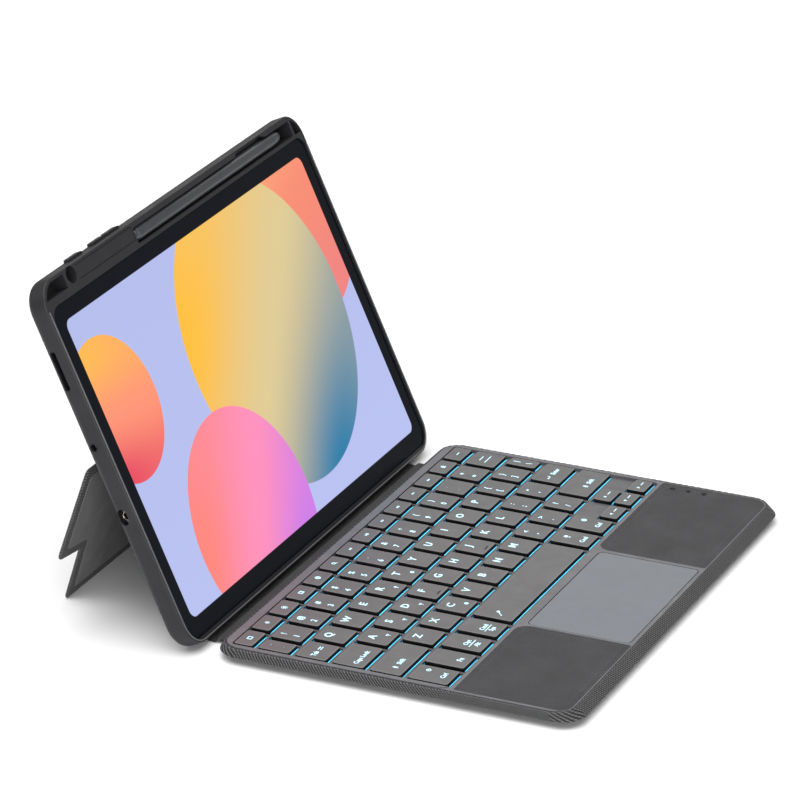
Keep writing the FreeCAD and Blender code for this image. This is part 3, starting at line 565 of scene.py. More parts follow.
    def _disc(self) -> bpy.types.NodeTree:
        """A plain disc of colour: its mask, and its shade from one side to the other."""
        g, given, out = self._start(
            "shaded_disc",
            {"Place": ("Vector", None), "Centre": ("Vector", (0.0, 0.0, 0.0)), "Radius": ("Float", 10.0),
             "Slope": ("Vector", (1.0, 0.0, 0.0))},
            {"Mask": "Float", "Shade": "Float", "Cross": "Float"})
        gap = g.vector("SUBTRACT", given.outputs["Place"], given.outputs["Centre"]).outputs[0]
        far = g.node("ShaderNodeVectorMath", operation="LENGTH")
        g.feed(far.inputs[0], gap)
        share = g.math("DIVIDE", far.outputs["Value"], given.outputs["Radius"])
        g.feed(out.inputs["Mask"], g.span(share, 1.0, 0.992, smooth=True))
        x, y, _ = g.split(given.outputs["Slope"])
        turned = g.node("ShaderNodeCombineXYZ")
        g.feed(turned.inputs[0], g.math("MULTIPLY", y, -1.0))
        g.feed(turned.inputs[1], x)
        for label, way in (("Shade", given.outputs["Slope"]), ("Cross", turned.outputs[0])):
            reach = g.vector("DOT_PRODUCT", gap, way).outputs["Value"]
            reach = g.math("DIVIDE", reach, given.outputs["Radius"])
            g.feed(out.inputs[label], g.math("MULTIPLY_ADD", reach, 0.5, 0.5, clamp=True))
        return g.tree


GROUPS = SharedGroups()


class Pattern(Enum):
    """Where a finish reads its place from."""

    SOLID = "object coordinates"
    SURFACE = "the piece's own UV map"


@dataclass(frozen=True)
class Finish:
    """What every finish shares: a name, and a material with one Principled shader."""

    name: str

    def _begin(self, pattern: Pattern) -> tuple[bpy.types.Material, Graph, bpy.types.Node, object]:
        """Starts the material.

        Args:
            pattern: where its place comes from.

        Returns:
            The material, its graph, its Principled shader, and its place in millimetres.
        """
        material = bpy.data.materials.new(self.name)
        material.use_nodes = True
        g = Graph(material.node_tree)
        shader = next(n for n in g.tree.nodes if n.type == "BSDF_PRINCIPLED")
        if pattern is Pattern.SURFACE:
            place = g.node("ShaderNodeUVMap", uv_map="Surface").outputs[0]
        else:
            place = g.vector("SCALE", g.node("ShaderNodeTexCoord").outputs["Object"])
            place.inputs["Scale"].default_value = 1.0 / MM
            place = place.outputs[0]
        return material, g, shader, place

    @staticmethod
    def _bump(g: Graph, shader: bpy.types.Node, height: object, depth_mm: float) -> None:
        """Raises the surface by a height from 0 to 1 times a depth."""
        bump = g.node("ShaderNodeBump")
        bump.inputs["Strength"].default_value = 1.0
        bump.inputs["Distance"].default_value = depth_mm * MM
        g.feed(bump.inputs["Height"], height)
        g.feed(shader.inputs["Normal"], bump.outputs[0])

    @staticmethod
    def _mark(g: Graph, label: str) -> bpy.types.NodeSocket:
        """One of the mesh's own marks, 0 where the mesh has none."""
        return g.node("ShaderNodeAttribute", attribute_name=label).outputs["Fac"]


@dataclass(frozen=True)
class ClothFinish(Finish):
    """Woven twill in two dark yarns."""

    dark: Colour = (0.004, 0.004, 0.004)
    pale: Colour = (0.105, 0.105, 0.108)
    pitch: float = 1.4
    slant: float = 0.55
    depth: float = 0.16

    def make(self) -> bpy.types.Material:
        """Builds the material on the piece's UV map, so the ribs follow its edges."""
        material, g, shader, place = self._begin(Pattern.SURFACE)
        weave = g.group(GROUPS.weave, Place=place, Pitch=self.pitch, Slant=self.slant)
        dust = g.group(GROUPS.dust, Place=place, Amount=0.16)
        wear = g.group(GROUPS.wear, Place=place, Edge=self._mark(g, "edge"), Amount=0.35)
        yarn = g.mix(g.span(weave.outputs["Thread"], 0.4, 0.92), self.dark, self.pale)
        faded = g.mix(g.math("MULTIPLY", weave.outputs["Tone"], 0.12), yarn, (0.03, 0.03, 0.032))
        rubbed = g.mix(wear.outputs["Mask"], faded, (0.13, 0.13, 0.135))
        g.feed(shader.inputs["Base Color"], g.mix(dust.outputs["Mask"], rubbed, (0.3, 0.29, 0.28)))
        g.feed(shader.inputs["Roughness"], g.span(weave.outputs["Height"], 0.0, 1.0, 0.9, 0.62))
        g.give(shader, Sheen_Weight=0.06, Sheen_Roughness=0.45, Specular_IOR_Level=0.25)
        self._bump(g, shader, weave.outputs["Height"], self.depth)
        return material


@dataclass(frozen=True)
class GrainedFinish(Finish):
    """Leathercloth, moulded plastic or rubber: one colour with grain, rubbed edges and dust."""

    colour: Colour = (0.05, 0.05, 0.052)
    rubbed: Colour = (0.14, 0.14, 0.145)
    grain: float = 0.6
    depth: float = 0.03
    rough: tuple[float, float] = (0.45, 0.6)
    wear: float = 0.4
    dust: float = 0.1
    specular: float = 0.5
    coat: float = 0.0
    shade: float = 0.8

    def make(self) -> bpy.types.Material:
        """Builds the material on object coordinates."""
        material, g, shader, place = self._begin(Pattern.SOLID)
        grain = g.group(GROUPS.grain, Place=place, Size=self.grain)
        wear = g.group(GROUPS.wear, Place=place, Edge=self._mark(g, "edge"), Amount=self.wear)
        dust = g.group(GROUPS.dust, Place=place, Amount=self.dust)
        darker = tuple(self.shade * c for c in self.colour)
        toned = g.mix(g.span(grain.outputs["Tone"], 0.3, 0.7), self.colour, darker)
        pitted = g.mix(g.span(grain.outputs["Height"], 0.25, 0.6, 0.35, 0.0), toned, darker)
        worn = g.mix(wear.outputs["Mask"], pitted, self.rubbed)
        g.feed(shader.inputs["Base Color"], g.mix(dust.outputs["Mask"], worn, DUST_COLOUR))
        g.feed(shader.inputs["Roughness"], g.span(grain.outputs["Tone"], 0.2, 0.8, *self.rough))
        g.give(shader, Specular_IOR_Level=self.specular, Coat_Weight=self.coat, Coat_Roughness=0.25)
        self._bump(g, shader, grain.outputs["Height"], self.depth)
        return material


@dataclass(frozen=True)
class KeyFinish(Finish):
    """Key plastic with a painted backlight glow along each key's front wall, and painted shade on its walls.
    """

    colour: Colour = (0.088, 0.086, 0.087)
    rubbed: Colour = (0.3, 0.295, 0.295)
    # colour of the painted glow that stands in for backlight falling on the key fronts
    light: Colour = (0.001, 0.06, 0.16)
    strength: float = 1.0

    def make(self) -> bpy.types.Material:
        """Builds the material: sparked tops, walls painted dark as painted shade, and the painted glow mark
        as emission.
        """
        material, g, shader, place = self._begin(Pattern.SOLID)
        grain = g.group(GROUPS.grain, Place=place, Size=0.22)
        wear = g.group(GROUPS.wear, Place=place, Edge=self._mark(g, "edge"), Amount=0.55)
        dust = g.group(GROUPS.dust, Place=place, Amount=0.06)
        top = g.span(g.split(g.node("ShaderNodeNewGeometry").outputs["Normal"])[2], 0.2, 0.8)
        # Painted shade: faces that don't look up get a near-black colour and full metal; only the tops get
        # the plastic's colour.
        face = g.mix(top, (0.004, 0.004, 0.005), self.colour)
        toned = g.mix(g.span(grain.outputs["Tone"], 0.3, 0.7, 0.0, 0.22), face, (0.07, 0.066, 0.064))
        worn = g.mix(g.math("MULTIPLY", wear.outputs["Mask"], top), toned, self.rubbed)
        g.feed(shader.inputs["Base Color"], g.mix(dust.outputs["Mask"], worn, DUST_COLOUR))
        sheen = g.span(grain.outputs["Tone"], 0.2, 0.8, 0.38, 0.5)
        g.feed(shader.inputs["Roughness"], g.math("MAXIMUM", sheen, g.span(top, 0.0, 1.0, 0.9, 0.0)))
        g.feed(shader.inputs["Metallic"], g.span(top, 0.0, 1.0, 1.0, 0.0))
        # Painted light: emission from the painted glow mark, a deeper blue where the mark is weak.
        painted_glow = g.math("POWER", self._mark(g, "painted_glow"), 1.6)
        deep = tuple(0.25 * c for c in self.light)
        lit = g.mix(g.math("MULTIPLY", painted_glow, 1.0, clamp=True), deep, self.light)
        g.give(shader, Emission_Color=g.mix(painted_glow, BLACK, lit), Emission_Strength=self.strength,
               Specular_IOR_Level=0.4)
        self._bump(g, shader, grain.outputs["Height"], 0.01)
        return material


@dataclass(frozen=True)
class GlowFinish(Finish):
    """Something that shines: a legend, the light guide, a lamp, or a painted line of light in a key gap."""

    light: Colour = (0.45, 0.86, 1.0)
    base: Colour = (0.4, 0.5, 0.55)
    strength: float = 1.0
    patchy: tuple[float, float] = (0.7, 1.0)

    def make(self) -> bpy.types.Material:
        """Builds the material, its light a little uneven."""
        material, g, shader, place = self._begin(Pattern.SOLID)
        patches = g.span(g.noise(place, 0.08, 3.0), 0.35, 0.65, *self.patchy)
        dim = tuple(0.45 * c for c in self.light)
        g.give(shader, Base_Color=self.base, Emission_Color=g.mix(patches, dim, self.light),
               Emission_Strength=self.strength,
               Roughness=g.span(g.noise(place, 1.5), 0.3, 0.7, 0.35, 0.55))
        return material


@dataclass(frozen=True)
class MetalFinish(Finish):
    """Plain or brushed metal."""

    colour: Colour = (0.55, 0.56, 0.58)
    rough: tuple[float, float] = (0.25, 0.45)
    stretch: float = 1.0

    def make(self) -> bpy.types.Material:
        """Builds the material with streaks along X where stretch is above 1."""
        material, g, shader, place = self._begin(Pattern.SOLID)
        drawn = g.vector("MULTIPLY", place, (1.0 / self.stretch, 1.0, 1.0)).outputs[0]
        streak = g.noise(drawn, 3.0, 4.0)
        darker = tuple(0.7 * c for c in self.colour)
        g.give(shader, Base_Color=g.mix(g.span(streak, 0.3, 0.7), darker, self.colour),
               Roughness=g.span(streak, 0.3, 0.7, *self.rough), Metallic=1.0)
        self._bump(g, shader, streak, 0.01)
        return material


@dataclass(frozen=True)
class CircuitFinish(Finish):
    """Green board with copper tracks."""

    def make(self) -> bpy.types.Material:
        """Builds the material: brick-shaped tracks over solder resist."""
        material, g, shader, place = self._begin(Pattern.SOLID)
        tracks = g.give(g.node("ShaderNodeTexBrick"), Vector=place, Scale=0.35,
                        Color1=(0.01, 0.11, 0.05), Color2=(0.012, 0.14, 0.06), Mortar=(0.32, 0.3, 0.12))
        g.give(shader, Base_Color=tracks.outputs["Color"],
               Roughness=g.span(g.noise(place, 0.8), 0.3, 0.7, 0.3, 0.5))
        self._bump(g, shader, tracks.outputs["Fac"], 0.03)
        return material


@dataclass(frozen=True)
class Disc:
    """One disc of the picture on the screen; its three colours run along its slope."""

    centre: tuple[float, float]
    radius: float
    slope: float
    colours: tuple[Colour, Colour, Colour]


@dataclass(frozen=True)
class ScreenFinish(Finish):
    """Cover glass: a dark border, and a lit picture of plain discs inside it."""

    width: float = 226.5
    height: float = 135.9
    corner: float = 4.0
    border: Colour = (0.002, 0.003, 0.006)
    field: Colour = (0.48, 0.535, 0.87)
    strength: float = 1.0
    discs: tuple[Disc, ...] = ()

    def make(self) -> bpy.types.Material:
        """Builds the material on the UV map, whose origin is the lit area's lower middle."""
        material, g, shader, place = self._begin(Pattern.SURFACE)
        x, y, _ = g.split(place)
        squares = []
        for offset, whole in ((x, self.width), (g.math("SUBTRACT", y, self.height / 2), self.height)):
            past = g.math("SUBTRACT", g.math("ABSOLUTE", offset), whole / 2 - self.corner)
            past = g.math("MAXIMUM", past, 0.0)
            squares.append(g.math("MULTIPLY", past, past))
        far = g.math("SQRT", g.math("ADD", *squares))
        lit = g.span(far, self.corner + 0.1, self.corner - 0.1)
        picture = g.mix(g.span(y, 0.0, self.height), self.field,
                        tuple(0.96 * c for c in self.field))
        for disc in self.discs:
            slope = (cos(radians(disc.slope)), sin(radians(disc.slope)), 0.0)
            made = g.group(GROUPS.disc, Place=place, Centre=(*disc.centre, 0.0), Radius=disc.radius,
                           Slope=slope)
            first, middle, last = disc.colours
            half = g.mix(g.span(made.outputs["Shade"], 0.1, 0.55, smooth=True), first, middle)
            whole = g.mix(g.span(made.outputs["Shade"], 0.5, 0.95, smooth=True), half, last)
            soft = g.mix(g.span(made.outputs["Cross"], 0.2, 0.9, 0.0, 0.35, smooth=True), whole, middle)
            picture = g.mix(made.outputs["Mask"], picture, soft)
        smears = g.span(g.noise(place, 0.02, 4.0), 0.45, 0.8)
        g.give(shader, Base_Color=g.mix(lit, self.border, (0.004, 0.004, 0.005)),
               Emission_Color=g.mix(lit, BLACK, picture), Emission_Strength=self.strength,
               Roughness=g.math("MULTIPLY_ADD", smears, 0.05, 0.12), Specular_IOR_Level=0.13)
        return material


# ---------------------------------------------------------------- the finishes of this object
class Finishes:
    """Every finish of the object, made once."""

    def __init__(self) -> None:
        """Builds the materials."""
        self.twill = ClothFinish("twill_cloth").make()
        self.fine_twill = ClothFinish("fine_twill", pitch=0.95, slant=1.6,
                                      pale=(0.07, 0.07, 0.073)).make()
        self.thread = GrainedFinish("sewing_thread", (0.012, 0.012, 0.013), grain=0.25, wear=0.0,
                                    rough=(0.6, 0.8)).make()
        self.leather = GrainedFinish("palm_leather", (0.027, 0.027, 0.03), grain=0.45, depth=0.25,
                                     specular=0.3, rough=(0.45, 0.57), wear=0.3, dust=0.05).make()
        self.lining = GrainedFinish("smooth_lining", (0.16, 0.16, 0.165), grain=0.35, depth=0.02,
                                    rough=(0.55, 0.7), wear=0.3).make()
        self.case = GrainedFinish("case_plastic", (0.105, 0.105, 0.115), (0.22, 0.22, 0.23), grain=0.25,
                                  depth=0.012, rough=(0.4, 0.52), wear=0.4).make()
        self.shell = GrainedFinish("moulded_shell", (0.015, 0.015, 0.017), (0.08, 0.08, 0.085), grain=0.3,
                                   specular=0.32, depth=0.015, rough=(0.4, 0.55), dust=0.07).make()
        # Lighter than the shell: a painted highlight along the lip.
        self.lip_highlight = GrainedFinish("shell_lip_painted_highlight", (0.1, 0.1, 0.105), (0.2, 0.2, 0.21), grain=0.3,
                                  depth=0.01, rough=(0.35, 0.45)).make()
        self.web = GrainedFinish("key_web", (0.07, 0.07, 0.078), (0.18, 0.18, 0.19), grain=0.25,
                                 depth=0.012, rough=(0.4, 0.52), wear=0.3).make()
        self.touchpad = GrainedFinish("touchpad_film", (0.106, 0.118, 0.135), (0.28, 0.29, 0.31), grain=0.15,
                                      depth=0.004, rough=(0.36, 0.4), wear=0.5, dust=0.02, shade=0.96).make()
        self.key = KeyFinish("key_plastic").make()
        self.legend = GlowFinish("lit_legend", (0.4, 0.8, 0.96), strength=1.05).make()
        self.guide = GlowFinish("light_guide", (0.01, 0.25, 0.5), base=(0.05, 0.1, 0.15)).make()
        # Painted light: glowing tubes in the key gaps, standing in for the backlight seen there.
        self.line = GlowFinish("painted_light_line", (0.06, 0.7, 1.0), base=(0.05, 0.2, 0.3), strength=1.6,
                               patchy=(0.3, 1.0)).make()
        self.print_ink = GrainedFinish("printed_marks", (0.006, 0.006, 0.006), grain=0.3, depth=0.0,
                                       wear=0.0, dust=0.0, specular=0.1).make()
        self.lamp = GrainedFinish("lamp_lens", (0.02, 0.02, 0.022), grain=0.4, depth=0.004,
                                  rough=(0.2, 0.3), coat=0.5).make()
        self.pen = GrainedFinish("pen_plastic", (0.04, 0.043, 0.048), (0.12, 0.13, 0.14), grain=0.3,
                                 depth=0.004, rough=(0.3, 0.4), coat=0.2).make()
        self.pearl = GrainedFinish("pen_button", (0.05, 0.054, 0.062), (0.2, 0.21, 0.23), grain=0.3,
                                   depth=0.003, rough=(0.18, 0.28), coat=0.6).make()
        self.rubber = GrainedFinish("foot_rubber", (0.012, 0.012, 0.012), grain=0.4, depth=0.03,
                                    rough=(0.7, 0.85)).make()
        self.silicone = GrainedFinish("silicone", (0.5, 0.5, 0.48), grain=0.5, rough=(0.5, 0.6)).make()
        self.dark_plastic = GrainedFinish("mechanism_plastic", (0.02, 0.02, 0.022), grain=0.3).make()
        self.battery = GrainedFinish("battery_wrap", (0.02, 0.022, 0.03), grain=0.8,
                                     rough=(0.25, 0.35)).make()
        # Near-black: painted shade inside the speaker holes, and the front camera's dark lens.
        self.hole = GrainedFinish("painted_hole_shade_and_lens", (0.002, 0.002, 0.002), grain=0.4, depth=0.0, dust=0.0,
                                  wear=0.0, specular=0.1).make()
        self.lens = GrainedFinish("camera_glass", (0.004, 0.005, 0.008), grain=0.4, depth=0.0,
                                  rough=(0.05, 0.1), dust=0.02, coat=1.0).make()
        self.tablet = MetalFinish("tablet_metal", (0.12, 0.125, 0.135), (0.3, 0.4)).make()
        self.steel = MetalFinish("screw_steel", (0.55, 0.55, 0.56)).make()
        self.contact = MetalFinish("contact_metal", (0.85, 0.8, 0.7), (0.15, 0.3)).make()
        self.sheet = MetalFinish("brushed_sheet", (0.6, 0.61, 0.63), stretch=14.0).make()
        self.nickel = MetalFinish("magnet_nickel", (0.62, 0.6, 0.57), (0.15, 0.25)).make()
        self.circuit = CircuitFinish("circuit_board").make()
        self.screen = ScreenFinish("screen", discs=SCREEN_DISCS).make()

    def dress_frame(self, nodes: dict[str, bpy.types.Object]) -> None:
        """Gives every node of the frame its finish; keys and the like are replaced later."""
        table = {"top_case": self.case, "key_frame": self.web, "light_sheet": self.guide,
                 "touchpad_bracket": self.sheet, "key_plate": self.sheet, "base_magnets": self.nickel,
                 "scissor_supports": self.dark_plastic, "rubber_domes": self.silicone,
                 "circuit_board": self.circuit, "battery": self.battery, "case_screws": self.steel,
                 "charging_socket": self.contact, "power_switch": self.dark_plastic,
                 "spine_stiffener": self.lining, "spine_strap": self.fine_twill,
                 "tablet_shell": self.shell, "tablet_body": self.tablet, "rear_camera": self.lens,
                 "power_button_cover": self.shell, "volume_up_cover": self.shell,
                 "volume_down_cover": self.shell}
        for name, node in nodes.items():
            finish = table.get(name, self.dark_plastic)
            node.data.materials.clear()
            node.data.materials.append(finish)


SCREEN_DISCS = (
    Disc((86.0, 118.0), 50.0, -70.0, ((1.0, 0.42, 0.2), (0.93, 0.26, 0.17), (0.86, 0.22, 0.22))),
    Disc((31.0, 80.0), 70.0, -48.0, ((1.0, 0.52, 0.04), (0.74, 0.6, 0.3), (0.01, 0.2, 0.4))),
    Disc((-38.0, 16.0), 50.0, -35.0, ((1.0, 0.24, 0.2), (1.0, 0.28, 0.5), (0.5, 0.18, 0.9))),
    Disc((-102.0, 92.0), 32.0, -95.0, ((1.0, 0.5, 0.08), (1.0, 0.3, 0.18), (0.8, 0.06, 0.12))),
)


# ---------------------------------------------------------------- places taken from the frame
@dataclass(frozen=True)
class Extent:
    """A node's lowest and highest corners at rest, in millimetres."""

    low: Array
    high: Array

    @classmethod
    def of(cls, node: str) -> "Extent":
        """Reads a node's extent from the frame."""
        low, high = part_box(node)
        return cls(np.array(low) / MM, np.array(high) / MM)

    def outline(self, radii: float | tuple[float, float, float, float], grow: float = 0.0,
                arc_steps: int = 6, side_steps: int = 1) -> Array:
        """Its footprint with round corners."""
        return rounded_outline(self.low[0] - grow, self.high[0] + grow, self.low[1] - grow,
                               self.high[1] + grow, radii, arc_steps, side_steps)


def joint(name: str) -> dict:
    """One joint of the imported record."""
    return next(j for j in frame["joints"] if j["name"] == name)


GLASS_LOW = -8.2          # bottom edge of the glass below the lit area's bottom edge
GLASS_HIGH = 143.3


def holder_plane() -> Plane:
    """The glass's outer face: across, up from the lit area's bottom edge, and out of the glass."""
    normal = joint("tablet_release")["axis"]
    angle = float(np.arctan2(-normal[1], normal[2]))
    glass = Extent.of("screen_glass")
    return Plane(glass.low[1] - GLASS_LOW * cos(angle), glass.high[2] - GLASS_HIGH * sin(angle), angle)


def stand_plane(holder: Plane) -> Plane:
    """The kickstand's outer face, with its origin on the hinge line and 'out' towards the tablet."""
    hinge = np.array(joint("kickstand_hinge")["pos_m"]) / MM
    opening = -radians(joint("kickstand_hinge")["range_deg"][0])
    return Plane(hinge[1], hinge[2], holder.angle + opening)


@dataclass
class SubAssembly:
    """What every sub-assembly has: the finishes, and a way to put a piece on its body."""

    finishes: Finishes

    def fit(self, made: bpy.types.Object, body: str, slot: str, replaced: tuple[str, ...] = ()) -> None:
        """Lets a piece ride on a body, and hides the nodes that it stands for."""
        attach(made, body)
        if replaced:
            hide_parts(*replaced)


# ---------------------------------------------------------------- keyboard base
@dataclass
class KeyboardBase(SubAssembly):
    """The cloth-wrapped tray, palm rests, touchpad, feet and status lamps."""

    undercut: float = 5.2
    edge_height: float = 3.5
    side_bevel: float = 0.8
    front_bevel: float = 4.6
    back_bevel: float = 2.4
    deck_gap: float = 2.0
    floor: float = 2.0
    stitch_pitch: float = 3.1
    stitch_length: float = 2.1
    palm_crown: float = 0.15
    lamp_radius: float = 0.45
    icon_pitch: float = 7.4

    def build(self) -> None:
        """Makes every piece of the base."""
        self._border()
        for side, node in ((-1, "left_palm_rest"), (1, "right_palm_rest")):
            self._palm_rest(side, node)
        self._touchpad()
        self._feet()
        self._lamps()

    def _ring(self, side: float, front: float, back: float, corner: float) -> Array:
        """The base's outline moved in by its own amount on the sides, front and back."""
        e = Extent.of("base_cover")
        return rounded_outline(e.low[0] + side, e.high[0] - side, e.low[1] + front, e.high[1] - back,
                               corner, arc_steps=10, side_steps=8)

    def _border(self) -> None:
        """Cloth carried round a section: underside, fold at the widest line, bevel, lip and inside."""
        e = Extent.of("base_cover")
        under, wide, deep = self.undercut, self.deck_gap, self.undercut + 0.2
        lip_front = self.front_bevel + 0.4
        lip_back = self.back_bevel + 0.9
        top = self._ring(self.side_bevel, self.front_bevel, self.back_bevel, 9.0)
        lip = self._ring(wide, lip_front, lip_back, 8.0)
        loops = np.stack([
            level(self._ring(under + 3.0, under + 3.0, under + 3.0, 5.0), e.low[2]),
            level(self._ring(under, under, under, 7.0), e.low[2]),
            level(self._ring(0.0, 0.0, 0.0, 11.0), self.edge_height),
            level(top, e.high[2]),
            level(lip, e.high[2]),
            level(self._ring(wide, wide, wide, 9.0), self.edge_height),
            level(self._ring(deep, deep, deep, 6.0), self.floor)])
        cloth = Surface()
        cloth.stack(loops, edge=0.55, steps=4)
        self.fit(cloth.piece("border_cloth", self.finishes.twill), "keyboard_base", "twill",
                 ("base_cover",))
        thread = Surface()
        self._stitches(thread, (top + lip) / 2.0, e.high[2])
        self.fit(thread.piece("border_stitches", self.finishes.thread), "keyboard_base", "twill")

    def _stitches(self, surface: Surface, path: Array, height: float) -> None:
        """Short stitches laid along a closed path, each a small four-sided bar with tapered ends."""
        steps = ring_steps(path)
        count = int(steps[-1] / self.stitch_pitch)
        at = (np.arange(count) + 0.5) * steps[-1] / count
        closed = np.concatenate([path, path[:1]])
        x, y = (np.interp(at, steps, closed[:, k]) for k in (0, 1))
        ahead_x, ahead_y = (np.interp(at + 0.5, steps, closed[:, k]) for k in (0, 1))
        run = np.stack([ahead_x - x, ahead_y - y], -1)
        run /= np.linalg.norm(run, axis=1, keepdims=True)
        half = self.stitch_length / 2.0
        stations = np.array([-half, -0.6 * half, 0.6 * half, half])
        widths = np.array([0.06, 0.17, 0.17, 0.06])
        corner = np.array([[-1.0, -1.0], [1.0, -1.0], [1.0, 1.0], [-1.0, 1.0]])
        side = corner[None, :, 0] * widths[:, None]
        rise = corner[None, :, 1] * widths[:, None] * 0.7
        along = np.broadcast_to(stations[:, None], side.shape)
        flat = along[..., None] * run[:, None, None] + side[..., None] * np.stack(
            [-run[:, 1], run[:, 0]], -1)[:, None, None]
        shape = np.concatenate([flat, np.broadcast_to(rise, (count, 4, 4))[..., None]], -1)
        i, j = np.meshgrid(np.arange(3), np.arange(4), indexing="ij")
        sides = np.stack([i * 4 + j, i * 4 + (j + 1) % 4, (i + 1) * 4 + (j + 1) % 4, (i + 1) * 4 + j], -1)
        ends = np.array([[3, 2, 1, 0], [12, 13, 14, 15]])
        faces = np.concatenate([sides.reshape(-1, 4)[:, ::-1], ends[:, ::-1]])
        surface.copies(shape.reshape(count, 16, 3), faces,
                       np.column_stack([x, y, np.full(count, height)]))

    def _palm_rest(self, side: int, node: str) -> None:
        """Leather pad: a thin slab that rises a little from its rolled edge to a low crown."""
        e = Extent.of(node)
        outer, inner, plain = 7.4, 6.0, 1.2
        radii = (outer, plain, inner, plain) if side < 0 else (plain, outer, plain, inner)
        outline = e.outline(radii, arc_steps=10, side_steps=10)
        rows = ((0.5, e.low[2]), (0.0, e.low[2]), (0.0, e.high[2] - 0.15), (0.5, e.high[2] + 0.02),
                (3.0, e.high[2] + self.palm_crown * 0.7), (5.5, e.high[2] + self.palm_crown))
        loops = np.stack([level(inset(outline, min(move, plain * 0.9) if move < 1.0 else 0.0), z)
                          for move, z in rows])
        middle = (e.low[:2] + e.high[:2]) / 2.0
        half = (e.high[:2] - e.low[:2]) / 2.0
        for row, (move, _) in enumerate(rows):
            if move >= 1.0:
                loops[row, :, :2] = middle + (outline - middle) * (1.0 - move / half)
        pad = Surface()
        pad.stack(loops, edge=0.2)
        name = node.replace("rest", "leather")
        self.fit(pad.piece(name, self.finishes.leather, 60.0), "keyboard_base", "palm_leather", (node,))

    def _touchpad(self) -> None:
        """Touchpad: a plate with a fine rounded edge."""
        e = Extent.of("touchpad")
        pad = Surface()
        pad.slab(e.outline(2.2, arc_steps=8), e.low[2], e.high[2], 0.18)
        self.fit(pad.piece("touchpad_face", self.finishes.touchpad), "touchpad_plate", "touchpad_film",
                 ("touchpad",))

    def _feet(self) -> None:
        """Four rubber feet with softly rounded edges."""
        e = Extent.of("base_feet")
        long, deep = 46.0, 7.0
        feet = Surface()
        for left in (e.low[0], e.high[0] - long):
            for front in (e.low[1], e.high[1] - deep):
                outline = rounded_outline(left, left + long, front, front + deep, deep / 2 - 0.1, 8)
                feet.slab(outline, e.low[2], e.high[2], 0.35)
        self.fit(feet.piece("rubber_feet", self.finishes.rubber), "keyboard_base", "rubber",
                 ("base_feet",))

    def _lamps(self) -> None:
        """Three small domed lamps, each with a printed mark behind it."""
        e = Extent.of("status_leds")
        x = (e.low[0] + e.high[0]) / 2.0
        top = e.high[2] + self.palm_crown
        lamps, marks = Surface(), Surface()
        painter = IconPainter(marks, top - 0.2, top + 0.05)
        signs = (Icon.CASE_LOCK, Icon.RADIO, Icon.CHARGE)
        for n, sign in enumerate(signs):
            y = e.high[1] - self.lamp_radius - n * self.icon_pitch
            angle = np.linspace(0.0, np.pi / 2, 4)[:, None]
            ring = round_outline(4)
            size = self.lamp_radius * np.maximum(np.cos(angle), 0.15)[..., None]
            flat = ring[None] * size + np.array([x, y])
            rise = np.broadcast_to(top - 0.1 + 0.25 * np.sin(angle), flat.shape[:2])
            dome = np.concatenate([flat, rise[..., None]], -1)
            lamps.stack(np.concatenate([[level(ring * self.lamp_radius + np.array([x, y]), e.low[2])], dome]))
            painter.draw(sign, x, y + 3.4, 1.25)
        self.fit(lamps.piece("status_lamps", self.finishes.lamp), "keyboard_base", "led_lens",
                 ("status_leds",))
        self.fit(marks.piece("status_marks", self.finishes.print_ink), "keyboard_base", "palm_leather")


